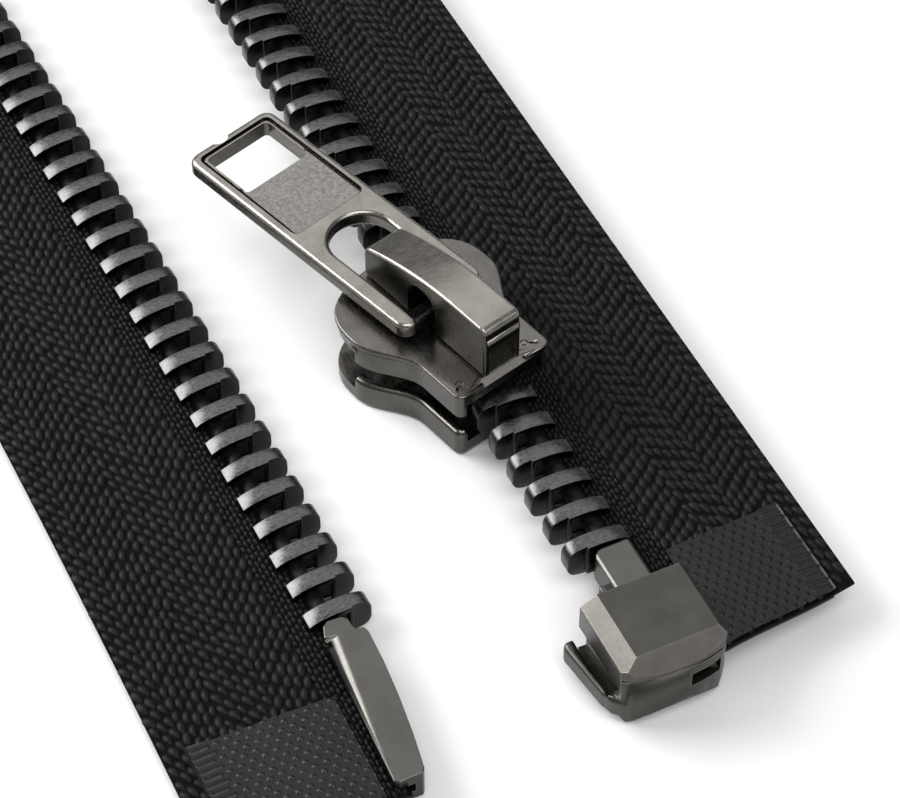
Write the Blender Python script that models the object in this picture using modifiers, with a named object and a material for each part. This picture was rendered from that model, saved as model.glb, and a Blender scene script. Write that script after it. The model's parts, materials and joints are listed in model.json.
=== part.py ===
"""Open-end metal zipper, laid open: two toothed tapes, a locking slider with its pull, and the end box.

Frame: +Z up, +Y towards the top stops, z = 0 the table. The box of the whole object stands on
the origin. Each stringer is drawn in strip coordinates: u runs from the tips of its teeth
outwards across the tape, and y runs along the chain from the lowest tooth on the right.
"""

import math

import bmesh
import bpy
from mathutils import Vector

MM = 0.001
CLEARANCE = 0.15 * MM
TABLE_GAP = 0.03 * MM
CUT_REACH = 1.0 * MM

# Chain: one tooth every pitch, clamped on a corded tape edge.
TOOTH_PITCH = 3.2 * MM
TEETH_PER_SIDE = 36
SINGLE_TEETH = 19
TOOTH_WIDTH = 1.4 * MM
TOOTH_LENGTH = 5.28 * MM
TOOTH_HALF_HEIGHT = 1.65 * MM
CORD_U = 3.6 * MM
CORD_RADIUS = 0.75 * MM
TOOTH_HOLE_HALF_HEIGHT = 1.05 * MM

# Tape: woven strip from the cord to the selvedge.
TAPE_THICKNESS = 0.7 * MM
TAPE_OUTER_U = 19.6 * MM
TAPE_CUT_Y = -13.6 * MM
TAPE_CUT_SLANT = 0.14
TAPE_ABOVE_STOP = 11.0 * MM

# Reinforcing film on both faces of each tape's bottom end.
FILM_THICKNESS = 0.2 * MM
FILM_GAP = 0.12 * MM
FILM_TOP_Y = -3.4 * MM
FILM_TOP_SLANT = 0.1
FILM_SELVEDGE = 1.8 * MM

# How the two stringers lie: the left one rests on the table in a shallow curve. The slider and
# the box hold the right one up, and its stiff tape droops only a little.
RIGHT_TAPE_DROOP = 0.9 * MM
STRINGER_GAP = 14.8 * MM
LEFT_FIRST_TOOTH_Y = 4.1 * MM
LEFT_HEADING = math.radians(0.2)
LEFT_CURVE = math.radians(0.115) / (3.2 * MM)

# Slider body, in its own frame: s across, t along from the narrow end, z from the chain's middle.
SLIDER_HALF_HEIGHT = 3.7 * MM
SLIDER_PLATE = 1.5 * MM
SLIDER_WALL = 0.95 * MM
SLIDER_TAPE_SLOT = 0.95 * MM
SLIDER_LENGTH = 16.0 * MM
SLIDER_SIDE_GAP = 0.35 * MM
SLIDER_FLARE = 2.45 * MM
SLIDER_FLARE_START = 4.6 * MM
SLIDER_FLARE_END = 10.4 * MM
SLIDER_END_HALF = 1.2 * MM
WEDGE_SETBACK = 0.6 * MM
SLIDER_YAW = math.radians(15.0)
SLIDER_X = 3.05 * MM
SLIDER_Y = 16.7 * MM

# Crown over the pull's crossbar, and the locking spring under it.
CROWN_HALF_WIDTH = 1.9 * MM
CROWN_HEIGHT = 5.5 * MM
CROWN_REAR_HEIGHT = 3.3 * MM
CROWN_CORNER = 0.7 * MM
CROWN_LEVEL_LENGTH = 4.0 * MM
CROWN_FRONT_T = 0.35 * MM
CROWN_REAR_T = 15.6 * MM
CROWN_WALL = 0.9 * MM
CROWN_CHEEK = 0.45 * MM
CHEEK_GAP = 0.6 * MM
SPRING_THICKNESS = 0.4 * MM
SPRING_HALF_WIDTH = 1.1 * MM
SPRING_REACH = 4.6 * MM
PAWL_T = 10.3 * MM
PAWL_LENGTH = 0.9 * MM
LUG_INSET = 0.65 * MM
FRONT_LUG_GAP = 1.6 * MM
REAR_LUG_GAP = 1.4 * MM
REAR_LUG_HEIGHT = 1.5 * MM

# Pull tab, flat on the slider and turned a little in its play: an eye round the crown, a recessed
# panel and a window.
PIVOT_T = 8.2 * MM
CROSSBAR_RADIUS = 0.7 * MM
PULL_YAW = math.radians(3.3)
PULL_THICKNESS = 1.6 * MM
PULL_HALF_WIDTH = 4.6 * MM
PULL_LENGTH = 26.3 * MM
PULL_CORNER = 1.3 * MM
PULL_RIM = 1.15 * MM
EYE_HALF_WIDTH = 2.9 * MM
EYE_END = 12.0 * MM
PANEL_START = 13.3 * MM
PANEL_DEPTH = 0.45 * MM
WINDOW_START = 20.4 * MM
WINDOW_LENGTH = 4.5 * MM
WINDOW_HALF_WIDTH = 2.75 * MM

# Pins and the retainer box at the bottom.
PIN_HALF_HEIGHT = 1.5 * MM
PIN_INNER_U = 1.8 * MM
PIN_OUTER_U = 5.05 * MM
PIN_BEVEL = 0.45 * MM
INSERTION_PIN_LENGTH = 15.6 * MM
INSERTION_PIN_LEAN = math.radians(-4.0)
INSERTION_PIN_INNER_U = 1.4 * MM
INSERTION_PIN_OUTER_U = 4.7 * MM
INSERTION_PIN_SHOULDER = 1.5 * MM
BOX_LEFT_X = -2.0 * MM
BOX_RIGHT_X = 7.0 * MM
BOX_BACK_Y = -6.2 * MM
BOX_FRONT_Y = -14.0 * MM
BOX_HALF_HEIGHT = 3.7 * MM
BOX_WALL = 1.1 * MM
BOX_CHAMFER = 1.4 * MM
BOX_CHAMFER_SLOPE = 0.6
FRONT_CHAMFER_OVERRUN = 0.2 * MM
BOX_LIP = 1.5 * MM
BOX_LIP_LIFT = 1.12 * MM
BOX_SLIT_HALF = 0.5 * MM
BOX_END_HOLE = 2.7 * MM
END_HOLE_INSET = 1.0 * MM

# Top stops, one clamped above the last tooth of each side.
STOP_LENGTH = 3.4 * MM
STOP_INNER_U = 1.3 * MM

# Worked out from the sizes above.
TAPE_MARGIN = FILM_SELVEDGE - CLEARANCE
LEFT_EDGE_Z = TABLE_GAP + FILM_THICKNESS + FILM_GAP + TAPE_THICKNESS / 2
CROWN_TOP = SLIDER_HALF_HEIGHT + CROWN_HEIGHT
CROWN_REAR_TOP = SLIDER_HALF_HEIGHT + CROWN_REAR_HEIGHT
CROSSBAR_SWEEP = math.hypot(PULL_THICKNESS / 2, PULL_THICKNESS / 2)
PIVOT_Z = SLIDER_HALF_HEIGHT + CROSSBAR_SWEEP + CLEARANCE
LEAF_Z = PIVOT_Z + CROSSBAR_SWEEP + CLEARANCE
RIGHT_CHAIN_Z = SLIDER_HALF_HEIGHT
LEFT_CHAIN_Z = TOOTH_HALF_HEIGHT
RIGHT_EDGE_Z = RIGHT_CHAIN_Z - RIGHT_TAPE_DROOP
TAPE_INNER_U = CORD_U + CORD_RADIUS + 2 * CLEARANCE
SLOT_HALF_HEIGHT = TAPE_THICKNESS / 2 + 0.1 * MM
SLOT_INNER_U = TAPE_INNER_U - CLEARANCE
CHAIN_LENGTH = (TEETH_PER_SIDE - 1) * TOOTH_PITCH
STOP_GAP = (TOOTH_PITCH - TOOTH_WIDTH) / 2
TAPE_TOP_Y = CHAIN_LENGTH + LEFT_FIRST_TOOTH_Y + STOP_LENGTH + TAPE_ABOVE_STOP
WEDGE_TIP_T = SLIDER_X / math.sin(SLIDER_YAW) + 2 * CLEARANCE / math.tan(SLIDER_YAW)
SLIDER_FLARE_DRIFT = SLIDER_FLARE_START * math.sin(SLIDER_YAW)
SLIDER_CHANNEL_HALF = (TOOTH_LENGTH + SLIDER_SIDE_GAP - SLIDER_X + SLIDER_FLARE_DRIFT) / math.cos(SLIDER_YAW)
SLIDER_NARROW_HALF = SLIDER_WALL + SLIDER_CHANNEL_HALF
SLIDER_WIDE_HALF = SLIDER_NARROW_HALF + SLIDER_FLARE
SLIDER_CORNER_X = SLIDER_WIDE_HALF * math.cos(SLIDER_YAW) - SLIDER_FLARE_END * math.sin(SLIDER_YAW)
RIGHT_FLAT_U = SLIDER_X + SLIDER_CORNER_X
LEFT_FLAT_U = TOOTH_LENGTH
PARTS = "zipper"
CUTTERS = "zipper_cutters"


def clear_scene():
    for obj in list(bpy.data.objects):
        bpy.data.objects.remove(obj, do_unlink=True)


def collection(name):
    made = bpy.data.collections.new(name)
    bpy.context.scene.collection.children.link(made)
    return made


def material(name, colour, roughness, metallic):
    made = bpy.data.materials.new(name)
    made.use_nodes = True
    shader = made.node_tree.nodes["Principled BSDF"]
    shader.inputs["Base Color"].default_value = (*colour, 1.0)
    shader.inputs["Roughness"].default_value = roughness
    shader.inputs["Metallic"].default_value = metallic
    return made


def add(name, mesh, parent, finish=None):
    """Links a mesh as a sub-part with its finish or, with none, as a hidden cutter."""
    obj = bpy.data.objects.new(name, mesh)
    obj.parent = parent
    if finish is None:
        obj.hide_render = True
        obj.display_type = "WIRE"
        bpy.data.collections[CUTTERS].objects.link(obj)
    else:
        mesh.materials.append(finish)
        bpy.data.collections[PARTS].objects.link(obj)
    return obj


def empty(name, location, yaw=0.0, parent=None):
    obj = bpy.data.objects.new(name, None)
    obj.location = location
    obj.rotation_euler = (0.0, 0.0, yaw)
    obj.parent = parent
    bpy.data.collections[PARTS].objects.link(obj)
    return obj


def prism(name, outline, low, high, place):
    """A closed outline pushed from low to high; place turns (a, b, height) into a point."""
    shape = bmesh.new()
    face = shape.faces.new([shape.verts.new(place(a, b, low)) for a, b in outline])
    grown = bmesh.ops.extrude_face_region(shape, geom=[face])
    shift = Vector(place(0.0, 0.0, high)) - Vector(place(0.0, 0.0, low))
    moved = [item for item in grown["geom"] if isinstance(item, bmesh.types.BMVert)]
    bmesh.ops.translate(shape, verts=moved, vec=shift)
    bmesh.ops.recalc_face_normals(shape, faces=shape.faces)
    mesh = bpy.data.meshes.new(name)
    shape.to_mesh(mesh)
    shape.free()
    return mesh


def upright(a, b, height):
    """Outline in plan, pushed along z."""
    return (a, b, height)


def across_y(a, b, height):
    """Outline in the x-z plane, pushed along y."""
    return (a, height, b)


def across_x(a, b, height):
    """Outline in the y-z plane, pushed along x."""
    return (height, a, b)


def block(name, low, high):
    outline = [(low[0], low[1]), (high[0], low[1]), (high[0], high[1]), (low[0], high[1])]
    return prism(name, outline, low[2], high[2], upright)


def boolean(obj, other, operation):
    step = obj.modifiers.new(other.name, "BOOLEAN")
    step.operation = operation
    step.solver = "EXACT"
    step.object = other


def arc(centre, radius, start, end, steps):
    """Points along an arc, both ends included; angles in degrees."""
    angles = [math.radians(start + (end - start) * i / steps) for i in range(steps + 1)]
    return [(centre[0] + radius * math.cos(a), centre[1] + radius * math.sin(a)) for a in angles]


def mirrored(half):
    """The closed outline of a half given for one sign of its second value, from nose to heel."""
    return half + [(a, -b) for a, b in reversed(half)]


def ease(value):
    """A smooth step from 0 to 1."""
    value = min(max(value, 0.0), 1.0)
    return (1.0 - math.cos(math.pi * value)) / 2.0


# Where the stringers run ------------------------------------------------------------------


def right_point(u, y):
    return (u, y)


def left_point(u, y):
    """The left stringer bends gently, so its own y turns into a place along a shallow curve."""
    slope = LEFT_HEADING + LEFT_CURVE * y
    nose_x = -STRINGER_GAP - LEFT_HEADING * y - LEFT_CURVE * y * y / 2
    return (nose_x - u * math.cos(slope), y - u * math.sin(slope))


def left_heading(y):
    return LEFT_HEADING + LEFT_CURVE * y


def tape_z(u, chain_z, edge_z, flat_u):
    """Height of the tape's middle: level at the chain, then down to the level margin."""
    run = TAPE_OUTER_U - TAPE_MARGIN - flat_u
    return chain_z + (edge_z - chain_z) * ease((u - flat_u) / run)


def cut_y(u):
    return TAPE_CUT_Y + TAPE_CUT_SLANT * u


SIDES = {
    "right": (right_point, RIGHT_CHAIN_Z, RIGHT_EDGE_Z, RIGHT_FLAT_U, 0.0, 2),
    "left": (left_point, LEFT_CHAIN_Z, LEFT_EDGE_Z, LEFT_FLAT_U, LEFT_FIRST_TOOTH_Y, 14),
}


def object_centre():
    """Middle of the laid-out object in plan, which the origin stands under."""
    corners = []
    for point in (right_point, left_point):
        for u in (0.0, TAPE_INNER_U, TAPE_OUTER_U):
            corners += [point(u, cut_y(u)), point(u, TAPE_TOP_Y)]
    corners.append((BOX_RIGHT_X, BOX_FRONT_Y))
    corners.append(insertion_pin_tip())
    xs, ys = zip(*corners)
    return (min(xs) + max(xs)) / 2, (min(ys) + max(ys)) / 2


def insertion_pin_tip():
    x, y = left_point(INSERTION_PIN_INNER_U, LEFT_FIRST_TOOTH_Y - TOOTH_WIDTH / 2 - CLEARANCE)
    return x, y - INSERTION_PIN_LENGTH


# Woven parts ------------------------------------------------------------------------------


def strip(name, side, span_u, low_y, high_y, lift, thickness, finish, parent):
    """A sheet that follows the tape between two values of u and two cut lines."""
    point, chain_z, edge_z, flat_u, _, lengths = SIDES[side]
    widths = 8 if side == "right" else 5
    stations = strip_stations(span_u, flat_u, widths)
    sheet = bmesh.new()
    bmesh.ops.create_grid(sheet, x_segments=widths, y_segments=lengths, size=0.5)
    for vertex in sheet.verts:
        across, along = vertex.co.x + 0.5, vertex.co.y + 0.5
        u = stations[round(across * widths)]
        y = low_y(u) + (high_y(u) - low_y(u)) * along
        x, y = point(u, y)
        vertex.co = (x, y, tape_z(u, chain_z, edge_z, flat_u) + lift)
    mesh = bpy.data.meshes.new(name)
    sheet.to_mesh(mesh)
    sheet.free()
    obj = add(name, mesh, parent, finish)
    shell = obj.modifiers.new("thickness", "SOLIDIFY")
    shell.thickness = thickness
    shell.offset = 0.0
    return obj


def strip_stations(span_u, flat_u, widths):
    """Rows of a strip: its two edges, the end of the level part and the margin, where it has them."""
    low, high = span_u
    margin_u = TAPE_OUTER_U - TAPE_MARGIN
    start = flat_u if flat_u > low + CLEARANCE / 2 else low
    end = margin_u if margin_u < high - CLEARANCE / 2 else high
    edges_low, edges_high = [low] * (start > low), [high] * (end < high)
    spread = widths - len(edges_low) - len(edges_high)
    return edges_low + [start + (end - start) * i / spread for i in range(spread + 1)] + edges_high


def tape(side, finish, parent):
    span = (TAPE_INNER_U, TAPE_OUTER_U)
    name = f"tape_{side}"
    return strip(name, side, span, cut_y, lambda u: TAPE_TOP_Y, 0.0, TAPE_THICKNESS, finish, parent)


def films(side, finish, parent):
    """One film on each face of the tape end, clear of the pin and set in from the selvedge."""
    inner = BOX_RIGHT_X + 2 * CLEARANCE if side == "right" else INSERTION_PIN_OUTER_U + BOX_CHAMFER
    span = (inner, TAPE_OUTER_U - FILM_SELVEDGE)
    lift = TAPE_THICKNESS / 2 + FILM_GAP + FILM_THICKNESS / 2
    for face, sign in (("front", 1), ("back", -1)):
        strip(
            f"film_{face}_{side}",
            side,
            span,
            lambda u: cut_y(u) + CLEARANCE,
            lambda u: FILM_TOP_Y + FILM_TOP_SLANT * u,
            sign * lift,
            FILM_THICKNESS,
            finish,
            parent,
        )


def cord(name, side, low_y, high_y, parent):
    """The cord along the tape's edge, as a round tube."""
    point, chain_z, _, _, _, lengths = SIDES[side]
    steps = 1 if side == "right" else lengths
    data = bpy.data.curves.new(name, "CURVE")
    data.dimensions = "3D"
    data.bevel_depth = CORD_RADIUS
    data.bevel_resolution = 2
    data.use_fill_caps = True
    line = data.splines.new("POLY")
    line.points.add(steps)
    for i, place in enumerate(line.points):
        x, y = point(CORD_U, low_y + (high_y - low_y) * i / steps)
        place.co = (x, y, chain_z, 1.0)
    obj = bpy.data.objects.new(name, data)
    obj.parent = parent
    return obj


def lower_cord(side, finish, parent):
    first_y = SIDES[side][4]
    split_y = first_y + (SINGLE_TEETH - 0.5) * TOOTH_PITCH - CLEARANCE
    low_y = first_y - TOOTH_WIDTH / 2 + CLEARANCE
    obj = cord(f"cord_{side}", side, low_y, split_y, parent)
    obj.data.materials.append(finish)
    bpy.data.collections[PARTS].objects.link(obj)


# Teeth ------------------------------------------------------------------------------------


def tooth_half(bored):
    """Upper half of a tooth's section: rounded nose, arched back, and the jaw that grips the tape."""
    top = TOOTH_HALF_HEIGHT
    half = [(0.0, top * 0.3), (0.55 * MM, top * 0.82), (2.2 * MM, top)]
    half += [(4.2 * MM, top * 0.9), (TOOTH_LENGTH, top * 0.6), (TOOTH_LENGTH, SLOT_HALF_HEIGHT)]
    half.append((SLOT_INNER_U, SLOT_HALF_HEIGHT))
    if bored:
        half.append((CORD_U, TOOTH_HOLE_HALF_HEIGHT))
        half.append((CORD_U - CORD_RADIUS - 1.4 * CLEARANCE, SLOT_HALF_HEIGHT))
    return half


def tooth_mesh(name, bored):
    outline = mirrored(tooth_half(bored))
    return prism(name, outline, -TOOTH_WIDTH / 2, TOOTH_WIDTH / 2, across_y)


def seat_on_chain(obj, side, y, parent):
    """Puts a piece drawn for the right side at y on its chain, facing the other stringer."""
    point, chain_z, _, _, _, _ = SIDES[side]
    x, along = point(0.0, y)
    obj.location = (x, along, chain_z)
    obj.rotation_euler = (0.0, 0.0, 0.0 if side == "right" else math.pi + left_heading(y))
    obj.parent = parent


def single_teeth(side, finish, parent):
    first_y = SIDES[side][4]
    mesh = tooth_mesh("tooth", True)
    mesh.materials.append(finish)
    for number in range(SINGLE_TEETH):
        obj = bpy.data.objects.new(f"tooth_{side}_{number + 1:02d}", mesh)
        bpy.data.collections[PARTS].objects.link(obj)
        seat_on_chain(obj, side, first_y + number * TOOTH_PITCH, parent)


def upper_teeth(side, finish, parent):
    """The rest of the chain as one piece: its teeth joined by the cord that they grip."""
    first_y = SIDES[side][4]
    mesh = tooth_mesh("upper_tooth", False)
    teeth = bpy.data.collections.new(f"upper_teeth_cutters_{side}")
    bpy.data.collections[CUTTERS].children.link(teeth)
    for number in range(SINGLE_TEETH, TEETH_PER_SIDE):
        obj = bpy.data.objects.new(f"upper_tooth_{side}_{number + 1:02d}", mesh)
        obj.hide_render = True
        obj.display_type = "WIRE"
        teeth.objects.link(obj)
        seat_on_chain(obj, side, first_y + number * TOOTH_PITCH, parent)
    low_y = first_y + (SINGLE_TEETH - 0.5) * TOOTH_PITCH + CLEARANCE
    base = mesh_from_curve(cord(f"upper_teeth_{side}", side, low_y, TAPE_TOP_Y, parent), finish)
    step = base.modifiers.new("teeth", "BOOLEAN")
    step.operation = "UNION"
    step.solver = "EXACT"
    step.operand_type = "COLLECTION"
    step.collection = teeth


def mesh_from_curve(curve, finish):
    """Replaces a curve by its mesh, with the caps welded on."""
    bpy.data.collections[CUTTERS].objects.link(curve)
    bpy.context.view_layer.update()
    graph = bpy.context.evaluated_depsgraph_get()
    mesh = bpy.data.meshes.new_from_object(curve.evaluated_get(graph))
    shape = bmesh.new()
    shape.from_mesh(mesh)
    bmesh.ops.remove_doubles(shape, verts=shape.verts, dist=0.001 * MM)
    shape.to_mesh(mesh)
    shape.free()
    name, parent = curve.name, curve.parent
    bpy.data.objects.remove(curve)
    return add(name, mesh, parent, finish)


def top_stop(side, finish, parent):
    first_y = SIDES[side][4]
    half = tooth_half(True)
    nose = [(STOP_INNER_U, half[0][1]), (STOP_INNER_U + 0.5 * MM, half[1][1])]
    outline = mirrored(nose + half[2:])
    mesh = prism(f"top_stop_{side}", outline, 0.0, STOP_LENGTH, across_y)
    obj = add(f"top_stop_{side}", mesh, parent, finish)
    low_y = first_y + CHAIN_LENGTH + TOOTH_WIDTH / 2 + STOP_GAP
    if side == "left":
        low_y += STOP_LENGTH
    seat_on_chain(obj, side, low_y, parent)
    return obj


# Slider -----------------------------------------------------------------------------------


def slider_half_width(t):
    """Plan of the slider: parallel at the narrow end, flared, then round at the wide end."""
    if t <= SLIDER_FLARE_END:
        flare = ease((t - SLIDER_FLARE_START) / (SLIDER_FLARE_END - SLIDER_FLARE_START))
        return SLIDER_NARROW_HALF + (SLIDER_WIDE_HALF - SLIDER_NARROW_HALF) * flare
    share = (t - SLIDER_FLARE_END) / (SLIDER_LENGTH - SLIDER_FLARE_END)
    return SLIDER_WIDE_HALF * (1.0 - share**3) ** (1.0 / 2.2)


def slider_outline():
    flare = SLIDER_FLARE_END - SLIDER_FLARE_START
    stations = [0.0] + [SLIDER_FLARE_START + flare * i / 4 for i in range(5)]
    round_end = SLIDER_LENGTH - SLIDER_FLARE_END
    stations += [SLIDER_FLARE_END + round_end * share for share in (0.4, 0.65, 0.84, 0.96)]
    half = [(slider_half_width(t), t) for t in stations]
    end = [(SLIDER_END_HALF, SLIDER_LENGTH)]
    return half + end + [(-s, t) for s, t in reversed(half + end)]


def channel_outline():
    """Room for the chains: between the side walls, then open on both sides of the wide end."""
    flare = SLIDER_FLARE_END - SLIDER_FLARE_START
    stations = [-CUT_REACH] + [SLIDER_FLARE_START + flare * i / 4 for i in range(5)]
    half = [(slider_half_width(t) - SLIDER_WALL, t) for t in stations]
    reach = SLIDER_WIDE_HALF + CUT_REACH
    half += [(reach, SLIDER_FLARE_END), (reach, SLIDER_LENGTH + CUT_REACH)]
    return half + [(-s, t) for s, t in reversed(half)]


def slider_body(finish, frame):
    """Two plates held apart by the wedge, with side walls that leave a slot for the tapes."""
    top = SLIDER_HALF_HEIGHT
    inner = top - SLIDER_PLATE
    mesh = prism("slider_body", slider_outline(), -top, top, upright)
    obj = add("slider_body", mesh, frame, finish)
    channel = prism("channel_cutter", channel_outline(), -inner, inner, upright)
    boolean(obj, add("channel_cutter", channel, frame), "DIFFERENCE")
    reach = SLIDER_WIDE_HALF + CUT_REACH
    slot_end = SLIDER_FLARE_END + CUT_REACH / 2
    slot = block("slot_cutter", (-reach, -CUT_REACH, -SLIDER_TAPE_SLOT), (reach, slot_end, SLIDER_TAPE_SLOT))
    boolean(obj, add("slot_cutter", slot, frame), "DIFFERENCE")
    wedge_end = SLIDER_LENGTH - WEDGE_SETBACK
    wedge_half = (wedge_end - WEDGE_TIP_T) * math.tan(SLIDER_YAW)
    wedge = [(0.0, WEDGE_TIP_T), (wedge_half, wedge_end), (-wedge_half, wedge_end)]
    overlap = SLIDER_PLATE / 2
    wedge_mesh = prism("wedge_joint", wedge, -inner - overlap, inner + overlap, upright)
    boolean(obj, add("wedge_joint", wedge_mesh, frame), "UNION")
    for name, low_t, high_t, lug_top in slider_lugs():
        half = CROWN_HALF_WIDTH - LUG_INSET
        lug = block(name, (-half, low_t, top - overlap), (half, high_t, lug_top))
        boolean(obj, add(name, lug, frame), "UNION")
    hole_half = SPRING_HALF_WIDTH + 2 * CLEARANCE
    hole_low = (-hole_half, PAWL_T - 2 * CLEARANCE, inner - CUT_REACH)
    hole_high = (hole_half, PAWL_T + PAWL_LENGTH + 2 * CLEARANCE, top + CUT_REACH)
    hole = block("pawl_hole", hole_low, hole_high)
    boolean(obj, add("pawl_hole", hole, frame), "DIFFERENCE")
    return obj


def slider_lugs():
    """The two blocks inside the crown: the front one carries the spring's fixed end."""
    front_low = CROWN_FRONT_T + CROWN_WALL + 2 * CLEARANCE
    front_high = PIVOT_T - CROSSBAR_RADIUS - FRONT_LUG_GAP
    rear_low = PAWL_T + PAWL_LENGTH + REAR_LUG_GAP
    rear_high = CROWN_REAR_T - CROWN_WALL - 2 * CLEARANCE
    return (
        ("front_lug", front_low, front_high, LEAF_Z - 2 * CLEARANCE),
        ("rear_lug", rear_low, rear_high, SLIDER_HALF_HEIGHT + REAR_LUG_HEIGHT),
    )


def crown_top(t):
    """The crown's back: level over the narrow end, falling towards the wide end."""
    level_t = CROWN_FRONT_T + CROWN_LEVEL_LENGTH
    share = max(0.0, (t - level_t) / (CROWN_REAR_T - level_t))
    return CROWN_TOP - (CROWN_TOP - CROWN_REAR_TOP) * share**1.8


def slider_crown(finish, frame):
    """An arched hollow cover, with a gap in each side wall for the pull's crossbar."""
    foot = SLIDER_HALF_HEIGHT + CLEARANCE
    length = CROWN_REAR_T - CROWN_FRONT_T
    stations = [CROWN_FRONT_T + length * share for share in (0.06, 0.3, 0.5, 0.7, 0.86, 0.97)]
    outer = [(CROWN_FRONT_T, foot), (CROWN_FRONT_T, CROWN_TOP - CROWN_CORNER)]
    outer += [(t, crown_top(t)) for t in stations]
    outer += [(CROWN_REAR_T, CROWN_REAR_TOP - CROWN_CORNER), (CROWN_REAR_T, foot)]
    half = CROWN_HALF_WIDTH
    obj = add("slider_crown", prism("slider_crown", outer, -half, half, across_x), frame, finish)
    rear_inner, front_inner = CROWN_REAR_T - CROWN_WALL, CROWN_FRONT_T + CROWN_WALL
    floor = foot - CUT_REACH
    room = [(rear_inner, floor), (rear_inner, crown_top(rear_inner) - CROWN_WALL)]
    room += [(t, crown_top(t) - CROWN_WALL) for t in reversed(stations[1:-1])]
    room += [(front_inner, CROWN_TOP - CROWN_WALL), (front_inner, floor)]
    inside, beyond = half - CROWN_CHEEK, half + CUT_REACH
    room_mesh = prism("crown_room", room, -inside, inside, across_x)
    boolean(obj, add("crown_room", room_mesh, frame), "DIFFERENCE")
    gap_half = CROSSBAR_SWEEP + CHEEK_GAP
    gap_low = (-beyond, PIVOT_T - gap_half, floor)
    gap_high = (beyond, PIVOT_T + gap_half, crown_top(PIVOT_T + gap_half) - CROWN_WALL)
    boolean(obj, add("crown_gap", block("crown_gap", gap_low, gap_high), frame), "DIFFERENCE")
    return obj


def lock_spring(finish, frame):
    """A leaf under the crown; its bent end is the pawl, held just clear of the teeth."""
    low_t, high_t = PIVOT_T - CROSSBAR_RADIUS - SPRING_REACH, PAWL_T + PAWL_LENGTH
    pawl_end = TOOTH_HALF_HEIGHT + 2 * CLEARANCE
    outline = [
        (low_t, LEAF_Z),
        (PAWL_T, LEAF_Z),
        (PAWL_T, pawl_end),
        (high_t, pawl_end),
        (high_t, LEAF_Z + SPRING_THICKNESS),
        (low_t, LEAF_Z + SPRING_THICKNESS),
    ]
    mesh = prism("lock_spring", outline, -SPRING_HALF_WIDTH, SPRING_HALF_WIDTH, across_x)
    return add("lock_spring", mesh, frame, finish)


# Pull tab, drawn from its own pivot: r runs along the tab ------------------------------------


def rounded_box_outline(half, low, high, radius, steps=4):
    """A rectangle across (-half, half) and along (low, high) with round corners."""
    points = arc((half - radius, high - radius), radius, 0, 90, steps)
    points += arc((-half + radius, high - radius), radius, 90, 180, steps)
    points += arc((-half + radius, low + radius), radius, 180, 270, steps)
    points += arc((half - radius, low + radius), radius, 270, 360, steps)
    return points


def pull_tab(finish, pivot):
    half = PULL_THICKNESS / 2
    outline = rounded_box_outline(PULL_HALF_WIDTH, -half, PULL_LENGTH, PULL_CORNER, 3)
    obj = add("pull_tab", prism("pull_tab", outline, -half, half, upright), pivot, finish)
    eye = arc((0.0, EYE_END - EYE_HALF_WIDTH), EYE_HALF_WIDTH, 0, 180, 8)
    eye += [(-EYE_HALF_WIDTH, CROSSBAR_RADIUS), (EYE_HALF_WIDTH, CROSSBAR_RADIUS)]
    eye_mesh = prism("eye_cutter", eye, -2 * half, 2 * half, upright)
    boolean(obj, add("eye_cutter", eye_mesh, pivot), "DIFFERENCE")
    inner = PULL_HALF_WIDTH - PULL_RIM
    panel = rounded_box_outline(inner, PANEL_START, PULL_LENGTH - PULL_RIM, PULL_CORNER / 2, 2)
    panel_mesh = prism("panel_cutter", panel, half - PANEL_DEPTH, 2 * half, upright)
    boolean(obj, add("panel_cutter", panel_mesh, pivot), "DIFFERENCE")
    window_end = WINDOW_START + WINDOW_LENGTH
    window = rounded_box_outline(WINDOW_HALF_WIDTH, WINDOW_START, window_end, PULL_CORNER / 3, 2)
    window_mesh = prism("window_cutter", window, -2 * half, 2 * half, upright)
    boolean(obj, add("window_cutter", window_mesh, pivot), "DIFFERENCE")
    return obj


# Bottom end -------------------------------------------------------------------------------


def box_pin(finish, frame):
    """The fixed pin: a bar crimped on the right tape, running into the retainer box."""
    top_y = -TOOTH_WIDTH / 2 - CLEARANCE
    low_y = BOX_FRONT_Y + BOX_WALL + CLEARANCE
    half = [
        (PIN_INNER_U, PIN_HALF_HEIGHT - PIN_BEVEL),
        (PIN_INNER_U + PIN_BEVEL, PIN_HALF_HEIGHT),
        (PIN_OUTER_U, PIN_HALF_HEIGHT),
        (PIN_OUTER_U, SLOT_HALF_HEIGHT),
        (SLOT_INNER_U, SLOT_HALF_HEIGHT),
    ]
    mesh = prism("box_pin", mirrored(half), low_y, top_y, across_y)
    obj = add("box_pin", mesh, frame, finish)
    obj.location = (0.0, 0.0, RIGHT_CHAIN_Z)
    return obj


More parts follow.
